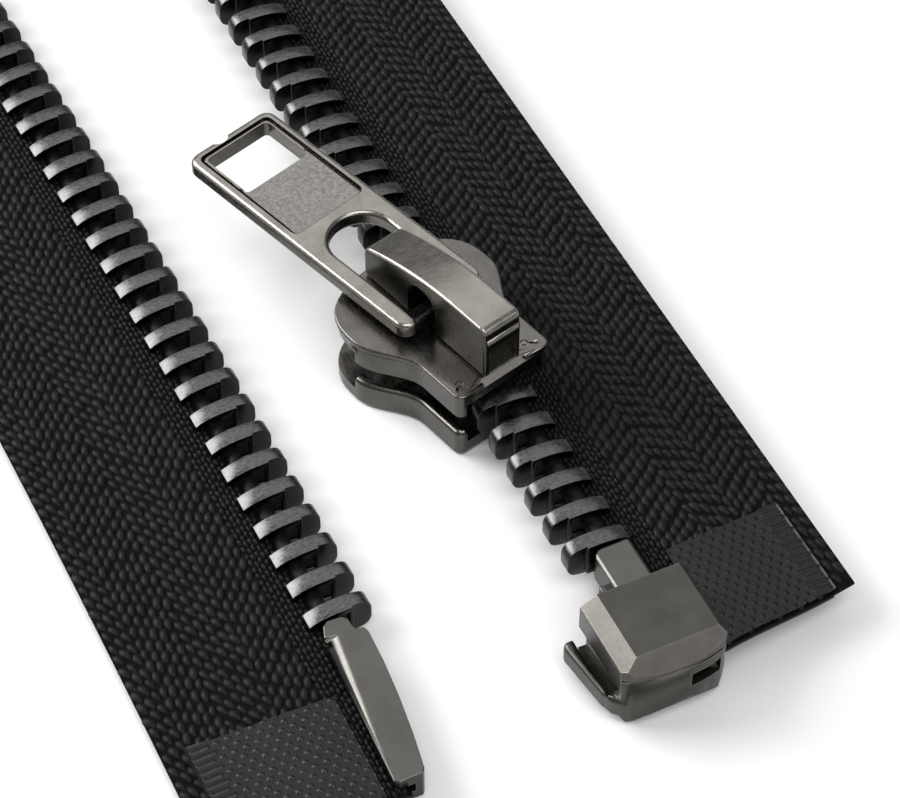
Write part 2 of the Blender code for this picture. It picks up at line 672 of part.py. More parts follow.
def insertion_pin(finish, frame):
    """The free pin: a crimped sleeve with a finger at its top and a slot for the tape's edge."""
    inner, outer = INSERTION_PIN_INNER_U, INSERTION_PIN_OUTER_U
    length, shoulder = INSERTION_PIN_LENGTH, INSERTION_PIN_SHOULDER
    outline = [
        (outer - 0.6 * MM, 0.0),
        (inner + 1.2 * MM, 0.0),
        (inner + 0.8 * MM, -shoulder),
        (inner, -shoulder),
        (inner + 0.5 * MM, -length),
        (outer - 0.3 * MM, -length),
        (outer, -shoulder),
    ]
    mesh = prism("insertion_pin", outline, -PIN_HALF_HEIGHT, PIN_HALF_HEIGHT, upright)
    obj = add("insertion_pin", mesh, frame, finish)
    mesh_slot = block(
        "pin_slot_cutter",
        (inner + 1.3 * MM, -length - CUT_REACH, -SLOT_HALF_HEIGHT),
        (outer + CUT_REACH, CUT_REACH, SLOT_HALF_HEIGHT),
    )
    slot = add("pin_slot_cutter", mesh_slot, frame)
    y = LEFT_FIRST_TOOTH_Y - TOOTH_WIDTH / 2 - CLEARANCE
    x, along = left_point(0.0, y)
    along -= outer * abs(math.sin(INSERTION_PIN_LEAN))
    for piece in (obj, slot):
        piece.scale = (-1.0, 1.0, 1.0)
        piece.location = (x, along, LEFT_CHAIN_Z)
        piece.rotation_euler = (0.0, 0.0, left_heading(y) + INSERTION_PIN_LEAN)
    boolean(obj, slot, "DIFFERENCE")
    return obj


def box_section():
    """The box across the chain: shallow chamfers above, steeper ones below."""
    top, left, right, chamfer = BOX_HALF_HEIGHT, BOX_LEFT_X, BOX_RIGHT_X, BOX_CHAMFER
    return [
        (left + chamfer, top),
        (left, top - BOX_CHAMFER_SLOPE * chamfer),
        (left, -top + chamfer),
        (left + chamfer, -top),
        (right - chamfer, -top),
        (right, -top + chamfer),
        (right, top - BOX_CHAMFER_SLOPE * chamfer),
        (right - BOX_CHAMFER_SLOPE * chamfer, top),
    ]


def box_lip():
    """The lower lip that guides the insertion pin in, tapering towards the front."""
    left, inner = BOX_LEFT_X, BOX_LEFT_X + BOX_WALL
    back, front = BOX_BACK_Y, BOX_FRONT_Y
    outline = [(left - BOX_LIP, back), (inner, back), (inner, front), (left, front)]
    return prism("lip_joint", outline, -BOX_HALF_HEIGHT + BOX_LIP_LIFT, -BOX_SLIT_HALF - CLEARANCE, upright)


def front_chamfer_cutter():
    top, front, chamfer = BOX_HALF_HEIGHT, BOX_FRONT_Y, BOX_CHAMFER
    outline = [
        (front - CUT_REACH, top + CUT_REACH),
        (front - CUT_REACH, top - chamfer),
        (front + chamfer, top + FRONT_CHAMFER_OVERRUN),
        (front + chamfer, top + CUT_REACH),
    ]
    return prism("front_chamfer_cutter", outline, BOX_LEFT_X - CUT_REACH, BOX_RIGHT_X + CUT_REACH, across_x)


def box_hollows():
    """Socket, side slit, tape slot and end hole, each as its lowest and highest corner."""
    left, right, back, front = BOX_LEFT_X, BOX_RIGHT_X, BOX_BACK_Y, BOX_FRONT_Y
    end_wall = front + BOX_WALL
    socket_half = PIN_HALF_HEIGHT + CLEARANCE
    hole_right, hole_half = right - END_HOLE_INSET, BOX_SLIT_HALF + CLEARANCE
    slit, beyond = BOX_SLIT_HALF, back + CUT_REACH
    return {
        "socket_cutter": (
            (left + BOX_WALL, end_wall, -socket_half),
            (PIN_OUTER_U + CLEARANCE, beyond, socket_half),
        ),
        "slit_cutter": (
            (left - BOX_LIP - CUT_REACH, end_wall, -slit),
            (left + BOX_WALL + CLEARANCE, beyond, slit),
        ),
        "tape_slot_cutter": (
            (PIN_OUTER_U - CLEARANCE, TAPE_CUT_Y + BOX_WALL / 2, -slit),
            (right + CUT_REACH, beyond, slit),
        ),
        "end_hole_cutter": (
            (hole_right - BOX_END_HOLE, front - CUT_REACH, -hole_half),
            (hole_right, end_wall + CUT_REACH / 2, hole_half),
        ),
    }


def retainer_box(finish, frame):
    """The socket that takes the insertion pin, closed at the bottom and slit on its open side."""
    section = prism("retainer_box", box_section(), BOX_FRONT_Y, BOX_BACK_Y, across_y)
    obj = add("retainer_box", section, frame, finish)
    obj.location = (0.0, 0.0, RIGHT_CHAIN_Z)
    shapes = [("lip_joint", box_lip(), "UNION")]
    shapes.append(("front_chamfer_cutter", front_chamfer_cutter(), "DIFFERENCE"))
    for name, (low, high) in box_hollows().items():
        shapes.append((name, block(name, low, high), "DIFFERENCE"))
    for name, mesh, operation in shapes:
        shape = add(name, mesh, frame)
        shape.location = obj.location
        boolean(obj, shape, operation)
    return obj


def shade_round_pieces():
    for obj in bpy.data.collections[PARTS].objects:
        if obj.type == "MESH":
            obj.data.shade_smooth()
            obj.data.set_sharp_from_angle(angle=math.radians(35))


def main():
    clear_scene()
    collection(PARTS)
    collection(CUTTERS)
    polyester = material("black_polyester_tape", (0.012, 0.012, 0.013), 0.85, 0.0)
    film = material("black_film", (0.014, 0.014, 0.015), 0.38, 0.0)
    gunmetal = material("gunmetal_teeth", (0.16, 0.155, 0.15), 0.32, 1.0)
    plated = material("gunmetal_slider", (0.24, 0.23, 0.22), 0.28, 1.0)
    nickel = material("brushed_nickel_pin", (0.36, 0.35, 0.33), 0.33, 1.0)
    steel = material("dark_spring_steel", (0.08, 0.08, 0.08), 0.4, 1.0)

    centre_x, centre_y = object_centre()
    frame = empty("zipper_frame", (-centre_x, -centre_y, 0.0))
    slider_frame = empty("slider_frame", (SLIDER_X, SLIDER_Y, RIGHT_CHAIN_Z), SLIDER_YAW, frame)
    pull_pivot = empty("pull_pivot", (0.0, PIVOT_T, PIVOT_Z), PULL_YAW, slider_frame)

    for side in SIDES:
        tape(side, polyester, frame)
        films(side, film, frame)
        lower_cord(side, polyester, frame)
        single_teeth(side, gunmetal, frame)
        upper_teeth(side, gunmetal, frame)
        top_stop(side, gunmetal, frame)
    slider_body(plated, slider_frame)
    slider_crown(plated, slider_frame)
    lock_spring(steel, slider_frame)
    pull_tab(plated, pull_pivot)
    box_pin(nickel, frame)
    insertion_pin(nickel, frame)
    retainer_box(nickel, frame)
    shade_round_pieces()


main()
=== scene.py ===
"""Open-end metal zipper, laid open: the visible pieces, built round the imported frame.

Shapes are drawn in millimetres in one of a few local frames, and finish_piece() turns them
into the frame's metres. In the chain frame, x is 0 at the tips of the right teeth, y is 0 at
the lowest right tooth, and z is 0 on the table.
"""

import json
import math

import bmesh
import bpy
from mathutils import Matrix, Vector


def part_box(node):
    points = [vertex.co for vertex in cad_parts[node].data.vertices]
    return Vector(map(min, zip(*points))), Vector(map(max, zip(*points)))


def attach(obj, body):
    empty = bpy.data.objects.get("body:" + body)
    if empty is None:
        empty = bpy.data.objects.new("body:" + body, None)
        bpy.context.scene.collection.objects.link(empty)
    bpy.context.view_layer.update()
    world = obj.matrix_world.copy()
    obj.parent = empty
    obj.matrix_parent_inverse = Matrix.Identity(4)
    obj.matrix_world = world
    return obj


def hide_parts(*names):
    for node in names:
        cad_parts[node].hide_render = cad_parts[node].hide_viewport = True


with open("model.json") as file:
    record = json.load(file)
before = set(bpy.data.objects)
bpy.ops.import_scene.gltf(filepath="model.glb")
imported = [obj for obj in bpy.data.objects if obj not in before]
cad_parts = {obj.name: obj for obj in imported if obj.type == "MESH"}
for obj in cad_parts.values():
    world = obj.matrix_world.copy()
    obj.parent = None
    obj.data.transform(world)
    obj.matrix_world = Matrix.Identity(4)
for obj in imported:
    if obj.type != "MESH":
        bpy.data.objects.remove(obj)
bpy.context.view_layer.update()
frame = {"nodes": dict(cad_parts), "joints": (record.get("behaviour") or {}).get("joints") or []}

bl_info = {
    "name": "Open-End Metal Zipper",
    "version": (1, 0, 0),
    "blender": (4, 5, 0),
    "location": "3D View > Sidebar > Zipper",
    "description": "Builds a metal zipper laid open, piece by piece",
    "category": "Object",
}

MM = 0.001


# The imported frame, read in millimetres ------------------------------------------------------


def cad_box(node):
    low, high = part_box(node)
    return low / MM, high / MM


FIRST_LOW, FIRST_HIGH = cad_box("tooth_right_01")
ORIGIN = Vector((FIRST_LOW.x, (FIRST_LOW.y + FIRST_HIGH.y) / 2, 0.0))
PITCH = cad_box("tooth_right_02")[0].y - FIRST_LOW.y
TOOTH_LENGTH = FIRST_HIGH.x - FIRST_LOW.x
TOOTH_WIDTH = FIRST_HIGH.y - FIRST_LOW.y
TOOTH_HALF_HEIGHT = (FIRST_HIGH.z - FIRST_LOW.z) / 2
RIGHT_CHAIN_Z = (FIRST_HIGH.z + FIRST_LOW.z) / 2


def cad_points(node):
    """A node's corners in the chain frame."""
    return [vertex.co / MM - ORIGIN for vertex in frame["nodes"][node].data.vertices]


def cad_middle(node):
    low, high = cad_box(node)
    return (low + high) / 2 - ORIGIN


LEFT_LOW, LEFT_MID, LEFT_HIGH = (cad_middle(f"tooth_left_{number}") for number in ("01", "10", "19"))
LEFT_CHAIN_Z = LEFT_LOW.z
LEFT_FIRST_Y = LEFT_LOW.y
SLOPE_LOW = (LEFT_MID.x - LEFT_LOW.x) / (LEFT_MID.y - LEFT_LOW.y)
SLOPE_HIGH = (LEFT_HIGH.x - LEFT_MID.x) / (LEFT_HIGH.y - LEFT_MID.y)
LEFT_CURVE = -2 * (SLOPE_HIGH - SLOPE_LOW) / (LEFT_HIGH.y - LEFT_LOW.y)
LEFT_HEADING = -SLOPE_LOW - LEFT_CURVE * (LEFT_LOW.y + LEFT_MID.y) / 2
LEFT_GAP = -(LEFT_LOW.x + TOOTH_LENGTH / 2) - LEFT_HEADING * LEFT_LOW.y - LEFT_CURVE * LEFT_LOW.y**2 / 2

TAPE_POINTS = cad_points("tape_right")
TAPE_INNER_U = min(point.x for point in TAPE_POINTS)
TAPE_OUTER_U = max(point.x for point in TAPE_POINTS)
TAPE_TOP_Y = max(point.y for point in TAPE_POINTS)
TAPE_HALF = max(point.z for point in TAPE_POINTS) - RIGHT_CHAIN_Z
RIGHT_EDGE_Z = min(point.z for point in TAPE_POINTS) + TAPE_HALF
LEFT_EDGE_Z = min(point.z for point in cad_points("tape_left")) + TAPE_HALF
TAPE_LEVEL_TOP = RIGHT_CHAIN_Z + TAPE_HALF - 0.002
RIGHT_FLAT_U = max(point.x for point in TAPE_POINTS if point.z > TAPE_LEVEL_TOP)
CUT_INNER_Y = min(point.y for point in TAPE_POINTS if point.x < TAPE_INNER_U + 0.01)
CUT_OUTER_Y = min(point.y for point in TAPE_POINTS if point.x > TAPE_OUTER_U - 0.01)
CUT_SLANT = (CUT_OUTER_Y - CUT_INNER_Y) / (TAPE_OUTER_U - TAPE_INNER_U)
TAPE_MARGIN = 1.65
CORD_U = 3.6
CORD_RADIUS = 0.75

STOP_LOW_Y = min(point.y for point in cad_points("top_stop_right"))
TEETH_PER_SIDE = round((STOP_LOW_Y - TOOTH_WIDTH) / PITCH) + 1


def ease(value):
    """A smooth step from 0 to 1."""
    value = min(max(value, 0.0), 1.0)
    return (1.0 - math.cos(math.pi * value)) / 2.0


class Side:
    """Where one stringer lies: its sign across, its curve, and the heights of its chain and tape."""

    def __init__(self, name, sign, gap, heading, curve, chain_z, edge_z, flat_u, first_y):
        self.name, self.sign, self.gap = name, sign, gap
        self.heading, self.curve, self.chain_z = heading, curve, chain_z
        self.edge_z, self.flat_u, self.first_y = edge_z, flat_u, first_y
        self.body = f"{name}_stringer"
        self.run = TAPE_OUTER_U - TAPE_MARGIN - flat_u

    def slope(self, along):
        return self.heading + self.curve * along

    def point(self, u, along):
        slope = self.slope(along)
        nose = -self.gap - self.heading * along - self.curve * along * along / 2
        return nose + self.sign * u * math.cos(slope), along + self.sign * u * math.sin(slope)

    def height(self, u):
        return self.chain_z + (self.edge_z - self.chain_z) * ease((u - self.flat_u) / self.run)

    def node(self, name):
        return f"{name}_{self.name}"


SIDES = (
    Side("right", 1.0, 0.0, 0.0, 0.0, RIGHT_CHAIN_Z, RIGHT_EDGE_Z, RIGHT_FLAT_U, 0.0),
    Side(
        "left", -1.0, LEFT_GAP, LEFT_HEADING, LEFT_CURVE, LEFT_CHAIN_Z, LEFT_EDGE_Z, TOOTH_LENGTH, LEFT_FIRST_Y
    ),
)


def cut_y(u):
    """The slanted lower end of each tape."""
    return CUT_INNER_Y + CUT_SLANT * (u - TAPE_INNER_U)


def joint(name):
    return next(item for item in frame["joints"] if item["name"] == name)


SWING = joint("pull_swing")
SLIDER_YAW = math.radians(15.0)
PULL_YAW = math.atan2(SWING["axis"][1], SWING["axis"][0])
PIVOT = Vector(SWING["pos_m"]) / MM - ORIGIN
PIVOT_Z = PIVOT.z - RIGHT_CHAIN_Z
SLIDER_TURN = Matrix.Rotation(SLIDER_YAW, 4, "Z")
PULL_TURN = Matrix.Rotation(PULL_YAW, 4, "Z")


def turned_span(node, turn=SLIDER_TURN):
    """Lowest and highest corner of a node, measured from the pull's pivot along its own sides."""
    back = turn.inverted()
    points = [back @ (point - PIVOT) for point in cad_points(node)]
    low = Vector(min(point[axis] for point in points) for axis in range(3))
    high = Vector(max(point[axis] for point in points) for axis in range(3))
    return low, high


BODY_LOW, BODY_HIGH = turned_span("slider_body")
PIVOT_T = -BODY_LOW.y
SLIDER_LENGTH = BODY_HIGH.y - BODY_LOW.y
SLIDER_HALF_HEIGHT = RIGHT_CHAIN_Z
SLIDER_WIDE = BODY_HIGH.x
SLIDER_FLARE = 2.45
SLIDER_NARROW = SLIDER_WIDE - SLIDER_FLARE
CROWN_LOW, CROWN_HIGH = turned_span("slider_crown")
CROWN_FRONT, CROWN_REAR = CROWN_LOW.y + PIVOT_T, CROWN_HIGH.y + PIVOT_T
CROWN_FOOT, CROWN_TOP = CROWN_LOW.z + PIVOT_Z, CROWN_HIGH.z + PIVOT_Z
CROWN_HALF = CROWN_HIGH.x
SPRING_LOW, SPRING_HIGH = turned_span("lock_spring")
SPRING_HALF = SPRING_HIGH.x
PULL_LOW, PULL_HIGH = turned_span("pull_tab", PULL_TURN)
PULL_HALF_WIDTH, PULL_LENGTH, PULL_HALF = PULL_HIGH.x, PULL_HIGH.y, PULL_HIGH.z

TO_METRES = Matrix.Scale(MM, 4)
CHAIN = TO_METRES @ Matrix.Translation(ORIGIN)
RIGHT_LEVEL = CHAIN @ Matrix.Translation((0.0, 0.0, RIGHT_CHAIN_Z))
PULL_PLACE = CHAIN @ Matrix.Translation(PIVOT) @ PULL_TURN
SLIDER_PLACE = CHAIN @ Matrix.Translation(PIVOT) @ SLIDER_TURN @ Matrix.Translation((0.0, -PIVOT_T, -PIVOT_Z))


# Sizes and colours that a user may change ---------------------------------------------------


def length(name, description, default):
    return bpy.props.FloatProperty(
        name=name, description=description, default=default * MM, min=0.0, unit="LENGTH", precision=5
    )


def share(name, description, default):
    return bpy.props.FloatProperty(
        name=name, description=description, default=default, min=0.0, max=1.0, subtype="FACTOR"
    )


def colour(name, description, default):
    return bpy.props.FloatVectorProperty(
        name=name, description=description, default=default, size=3, min=0.0, max=1.0, subtype="COLOR"
    )


class ZipperWeaveSettings(bpy.types.PropertyGroup):
    float_width: length("Float width", "Width of one column of the weave", 0.68)
    float_repeat: length("Float repeat", "Distance from one float to the next along the tape", 1.25)
    rib_width: length("Rib width", "Width of the fine columns beside the teeth", 0.38)
    rib_repeat: length("Rib repeat", "Distance between floats in the fine columns", 0.72)
    columns: bpy.props.IntProperty(
        name="Columns in a chevron", description="Columns before the twill turns back", default=5, min=1
    )
    seed: bpy.props.IntProperty(name="Seed", description="Seed of the yarn's unevenness", default=7)


class ZipperMetalSettings(bpy.types.PropertyGroup):
    tooth_bevel: length("Tooth bevel", "Rounding of a tooth's edges", 0.24)
    slider_bevel: length("Slider bevel", "Rounding of the slider's plates", 0.16)
    pull_bevel: length("Pull bevel", "Rounding of the pull tab's rails", 0.45)
    box_bevel: length("Box bevel", "Rounding of the retainer box's edges", 0.2)


class ZipperFinishSettings(bpy.types.PropertyGroup):
    yarn: colour("Yarn", "Black polyester yarn", (0.004, 0.004, 0.0042))
    film: colour("Film", "Reinforcing film", (0.007, 0.007, 0.0073))
    teeth: colour("Teeth", "Dark plating on the teeth", (0.03, 0.03, 0.03))
    # This colour also paints top light on every upward face of a tooth.
    burnish_and_top_light: colour("Burnish", "Bare metal where the teeth rub", (0.19, 0.19, 0.186))
    slider: colour("Slider", "Gunmetal plating", (0.145, 0.138, 0.128))
    crown: colour("Crown and pull", "Polished gunmetal plating", (0.275, 0.262, 0.235))
    panel: colour("Panel", "Matte panel of the pull", (0.31, 0.3, 0.28))
    pin: colour("Pin", "Nickel pins", (0.115, 0.112, 0.103))
    box: colour("Box", "Satin retainer box", (0.085, 0.081, 0.073))
    spring: colour("Spring", "Dark spring steel", (0.05, 0.05, 0.05))


class ZipperStageSettings(bpy.types.PropertyGroup):
    azimuth: bpy.props.FloatProperty(
        name="Azimuth", description="Camera's turn about the vertical", default=math.radians(-25.43),
        subtype="ANGLE"
    )
    elevation: bpy.props.FloatProperty(
        name="Elevation", description="Camera's height angle", default=math.radians(49.29), subtype="ANGLE"
    )
    distance: length("Distance", "From the camera to the point it looks at", 229.33)
    lens: bpy.props.FloatProperty(
        name="Lens", description="Focal length", default=113.04, min=1.0, unit="CAMERA"
    )
    light: bpy.props.FloatProperty(
        name="Light", description="Strength of all the lights together", default=1.0, min=0.0
    )


SETTINGS = {
    "zipper_weave": ZipperWeaveSettings,
    "zipper_metal": ZipperMetalSettings,
    "zipper_finish": ZipperFinishSettings,
    "zipper_stage": ZipperStageSettings,
}


# Node trees ---------------------------------------------------------------------------------


class Nodes:
    """Adds and links nodes of one tree. Any input takes either a value or another node's socket."""

    def __init__(self, tree):
        self.tree = tree

    def feed(self, socket, value):
        if isinstance(value, bpy.types.NodeSocket):
            self.tree.links.new(value, socket)
        else:
            socket.default_value = value

    def add(self, kind, inputs=(), **settings):
        node = self.tree.nodes.new(kind)
        for key, value in settings.items():
            setattr(node, key, value)
        for key, value in dict(inputs).items():
            self.feed(node.inputs[key], value)
        return node

    def math(self, operation, *values):
        return self.add("ShaderNodeMath", enumerate(values), operation=operation).outputs[0]

    def total(self, *values):
        out = values[0]
        for value in values[1:]:
            out = self.math("ADD", out, value)
        return out

    def times(self, *values):
        out = values[0]
        for value in values[1:]:
            out = self.math("MULTIPLY", out, value)
        return out

    def vector(self, x, y, z):
        return self.add("ShaderNodeCombineXYZ", {0: x, 1: y, 2: z}).outputs[0]

    def scaled(self, vector, factors):
        return self.add("ShaderNodeVectorMath", {0: vector, 1: factors}, operation="MULTIPLY").outputs[0]

    def remap(self, value, low, high, to_low=0.0, to_high=1.0):
        inputs = {"Value": value, "From Min": low, "From Max": high, "To Min": to_low, "To Max": to_high}
        return self.add("ShaderNodeMapRange", inputs).outputs[0]

    def mix(self, factor, first, second):
        inputs = {0: factor, 6: first, 7: second}
        return self.add("ShaderNodeMix", inputs, data_type="RGBA").outputs[2]

    def noise(self, vector, scale, detail=2.0, roughness=0.5):
        inputs = {"Vector": vector, "Scale": scale, "Detail": detail, "Roughness": roughness}
        return self.add("ShaderNodeTexNoise", inputs).outputs[0]


def new_tree(name, kind, inputs, outputs):
    """A node group with named inputs and outputs, and its input and output nodes."""
    tree = bpy.data.node_groups.new(name, kind)
    for label, socket, default in inputs:
        made = tree.interface.new_socket(label, in_out="INPUT", socket_type=f"NodeSocket{socket}")
        if default is not None:
            made.default_value = default
    for label, socket in outputs:
        tree.interface.new_socket(label, in_out="OUTPUT", socket_type=f"NodeSocket{socket}")
    nodes = Nodes(tree)
    return nodes, nodes.add("NodeGroupInput").outputs, nodes.add("NodeGroupOutput").inputs


def run_tree(name, tree, values):
    """The mesh that a geometry tree makes from these inputs, as a new object."""
    carrier = bpy.data.objects.new(f"{name}_tree", bpy.data.meshes.new(f"{name}_tree"))
    bpy.context.scene.collection.objects.link(carrier)
    step = carrier.modifiers.new("tree", "NODES")
    step.node_group = tree
    for item in tree.interface.items_tree:
        if item.in_out == "INPUT" and item.name in values:
            step[item.identifier] = values[item.name]
    graph = bpy.context.evaluated_depsgraph_get()
    mesh = bpy.data.meshes.new_from_object(carrier.evaluated_get(graph))
    bpy.data.objects.remove(carrier)
    mesh.name = name
    obj = bpy.data.objects.new(name, mesh)
    bpy.context.scene.collection.objects.link(obj)
    return obj


STRIP_INPUTS = [
    ("Sign", "Float", 1.0),
    ("Gap", "Float", 0.0),
    ("Heading", "Float", 0.0),
    ("Curve", "Float", 0.0),
    ("Chain Height", "Float", 0.0),
    ("Edge Height", "Float", 0.0),
    ("Flat Width", "Float", 0.0),
    ("Run", "Float", 1.0),
]


def strip_values(side):
    """One stringer's inputs to the trees, in millimetres."""
    return {
        "Sign": side.sign,
        "Gap": side.gap,
        "Heading": side.heading,
        "Curve": side.curve,
        "Chain Height": side.chain_z,
        "Edge Height": side.edge_z,
        "Flat Width": side.flat_u,
        "Run": side.run,
    }


def strip_tree():
    """Turns a place across and along a stringer into a position and a rotation on it."""
    inputs = [("Across", "Float", 0.0), ("Along", "Float", 0.0), ("Lift", "Float", 0.0)]
    outputs = [("Position", "Vector"), ("Tilt", "Float"), ("Turn", "Float")]
    nodes, given, out = new_tree("place_on_strip", "GeometryNodeTree", inputs + STRIP_INPUTS, outputs)
    math_, times, total = nodes.math, nodes.times, nodes.total
    along, across, sign = given["Along"], given["Across"], given["Sign"]
    slope = total(given["Heading"], times(given["Curve"], along))
    bend = total(given["Gap"], times(given["Heading"], along), times(given["Curve"], along, along, 0.5))
    x = math_("SUBTRACT", times(sign, across, math_("COSINE", slope)), bend)
    y = total(along, times(sign, across, math_("SINE", slope)))
    reach = nodes.math("DIVIDE", math_("SUBTRACT", across, given["Flat Width"]), given["Run"])
    reach = nodes.remap(reach, 0.0, 1.0)
    drop = math_("SUBTRACT", given["Edge Height"], given["Chain Height"])
    turned = times(reach, math.pi)
    eased = times(math_("SUBTRACT", 1.0, math_("COSINE", turned)), 0.5)
    z = total(given["Chain Height"], times(drop, eased), given["Lift"])
    steep = math_("DIVIDE", times(drop, math_("SINE", turned), math.pi / 2), given["Run"])
    nodes.feed(out["Position"], nodes.vector(x, y, z))
    nodes.feed(out["Tilt"], times(math_("ARCTANGENT", steep), -1.0))
    nodes.feed(out["Turn"], total(slope, times(math_("SUBTRACT", 1.0, sign), math.pi / 2)))
    return nodes.tree


def placed(nodes, strip, given, across, along, lift):
    """The strip group inside another tree, passed the same stringer."""
    inputs = {"Across": across, "Along": along, "Lift": lift}
    inputs.update({label: given[label] for label, _, _ in STRIP_INPUTS})
    group = nodes.tree.nodes.new("GeometryNodeGroup")
    group.node_tree = strip
    for key, value in inputs.items():
        nodes.feed(group.inputs[key], value)
    return group.outputs


def spread(nodes, out, given, points, rotation, scale):
    """Copies of the given object on points, realised and with the given material."""
    source = nodes.add("GeometryNodeObjectInfo", {"Object": given["Object"]}).outputs["Geometry"]
    turned = nodes.add("FunctionNodeEulerToRotation", {0: rotation}).outputs[0]
    inputs = {"Points": points, "Instance": source, "Rotation": turned, "Scale": scale}
    copies = nodes.add("GeometryNodeInstanceOnPoints", inputs).outputs[0]
    real = nodes.add("GeometryNodeRealizeInstances", {0: copies}).outputs[0]
    finished = nodes.add("GeometryNodeSetMaterial", {"Geometry": real, "Material": given["Material"]})
    nodes.feed(out["Geometry"], finished.outputs[0])


PIECE_INPUTS = [("Object", "Object", None), ("Material", "Material", None)]


def teeth_tree(strip):
    inputs = [("Count", "Int", 1), ("Pitch", "Float", 1.0), ("First", "Float", 0.0)] + PIECE_INPUTS
    nodes, given, out = new_tree("teeth_row", "GeometryNodeTree", inputs + STRIP_INPUTS, [("Geometry", "Geometry")])
    index = nodes.add("GeometryNodeInputIndex").outputs[0]
    along = nodes.total(given["First"], nodes.times(index, given["Pitch"]))
    place = placed(nodes, strip, given, 0.0, along, 0.0)
    points = nodes.add("GeometryNodePoints", {"Count": given["Count"]}).outputs[0]
    points = nodes.add("GeometryNodeSetPosition", {"Geometry": points, "Position": place["Position"]}).outputs[0]
    spread(nodes, out, given, points, nodes.vector(0.0, 0.0, place["Turn"]), (1.0, 1.0, 1.0))
    return nodes.tree


WEAVE_INPUTS = [
    ("Columns", "Int", 1),
    ("Rows", "Int", 1),
    ("Start", "Float", 0.0),
    ("Width", "Float", 1.0),
    ("Repeat", "Float", 1.0),
    ("Chevron", "Int", 5),
    ("Twill Step", "Float", 1.0 / 3.0),
    ("Lean", "Float", 0.2),
    ("Cut Start", "Float", 0.0),
    ("Cut Slant", "Float", 0.0),
    ("Top", "Float", 1.0),
    ("Lift", "Float", 0.0),
    ("Flip", "Float", 0.0),
    ("Unevenness", "Float", 0.13),
    ("Seed", "Int", 0),
]


def weave_tree(strip):
    """Rows of yarn floats that step along the tape and turn back in chevrons."""
    inputs = WEAVE_INPUTS + PIECE_INPUTS + STRIP_INPUTS
    nodes, given, out = new_tree("herringbone_weave", "GeometryNodeTree", inputs, [("Geometry", "Geometry")])
    math_, times, total = nodes.math, nodes.times, nodes.total
    index = nodes.add("GeometryNodeInputIndex").outputs[0]
    column = math_("FLOOR", math_("DIVIDE", index, given["Rows"]))
    row = math_("SUBTRACT", index, times(column, given["Rows"]))
    across = total(given["Start"], times(total(column, 0.5), given["Width"]))
    fold = math_("PINGPONG", column, given["Chevron"])
    stepped = math_("FRACT", times(fold, given["Twill Step"]))

    def uneven(low, high, offset):
        seed = total(given["Seed"], offset)
        values = {2: low, 3: high, 8: seed}
        return nodes.add("FunctionNodeRandomValue", values, data_type="FLOAT").outputs[1]

    rough = given["Unevenness"]
    small = times(rough, -1.0)
    along = total(row, stepped, uneven(small, rough, 1))
    cut = total(given["Cut Start"], times(given["Cut Slant"], across))
    along = total(cut, times(total(along, 0.6), given["Repeat"]))
    place = placed(nodes, strip, given, across, along, given["Lift"])
    amount = times(given["Columns"], given["Rows"])
    points = nodes.add("GeometryNodePoints", {"Count": amount}).outputs[0]
    beyond = math_("GREATER_THAN", along, given["Top"])
    points = nodes.add("GeometryNodeSetPosition", {"Geometry": points, "Position": place["Position"]}).outputs[0]
    cutter = nodes.add("GeometryNodeDeleteGeometry", {"Geometry": points, "Selection": beyond}, domain="POINT")
    turn_back = math_("MODULO", math_("FLOOR", math_("DIVIDE", column, given["Chevron"])), 2.0)
    side = math_("SUBTRACT", times(turn_back, 2.0), 1.0)
    lean = total(times(side, given["Lean"]), uneven(small, rough, 2))
    rotation = nodes.vector(given["Flip"], place["Tilt"], total(place["Turn"], lean))
    size = total(1.0, uneven(small, rough, 3))
    return nodes, given, out, cutter.outputs[0], rotation, size


def finished_weave_tree(strip):
    nodes, given, out, points, rotation, size = weave_tree(strip)
    spread(nodes, out, given, points, rotation, nodes.vector(size, size, size))
    return nodes.tree


# Finishes -----------------------------------------------------------------------------------


def rubbed_edge_and_highlight_group():
    """1 along edges, where plating is rubbed thin and where a painted highlight lights the edge, and 0 on flat faces.
    """
    inputs = [("Radius", "Float", 0.0001), ("Reach", "Float", 0.15), ("Coordinates", "Vector", None)]
    nodes, given, out = new_tree("edge_wear", "ShaderNodeTree", inputs, [("Mask", "Float")])
    rounded = nodes.add("ShaderNodeBevel", {"Radius": given["Radius"]}, samples=4).outputs[0]
    plain = nodes.add("ShaderNodeNewGeometry").outputs["Normal"]
    product = nodes.add("ShaderNodeVectorMath", {0: rounded, 1: plain}, operation="DOT_PRODUCT")
    edge = nodes.math("SUBTRACT", 1.0, product.outputs["Value"])
    edge = nodes.math("DIVIDE", edge, given["Reach"])
    patchy = nodes.remap(nodes.noise(given["Coordinates"], 2600.0, 3.0), 0.35, 0.6, 0.35, 1.0)
    nodes.feed(out["Mask"], nodes.remap(nodes.times(edge, patchy), 0.05, 0.8))
    return nodes.tree


def grain_group():
    """Fine scratches drawn out along one direction, and soft blotches between them."""
    inputs = [("Coordinates", "Vector", None), ("Fineness", "Vector", (1.0, 1.0, 1.0))]
    outputs = [("Grain", "Float"), ("Blotch", "Float")]
    nodes, given, out = new_tree("brushed_grain", "ShaderNodeTree", inputs, outputs)
    drawn = nodes.scaled(given["Coordinates"], given["Fineness"])
    nodes.feed(out["Grain"], nodes.noise(drawn, 1.0, 4.0, 0.65))
    nodes.feed(out["Blotch"], nodes.noise(given["Coordinates"], 420.0, 3.0, 0.55))
    return nodes.tree


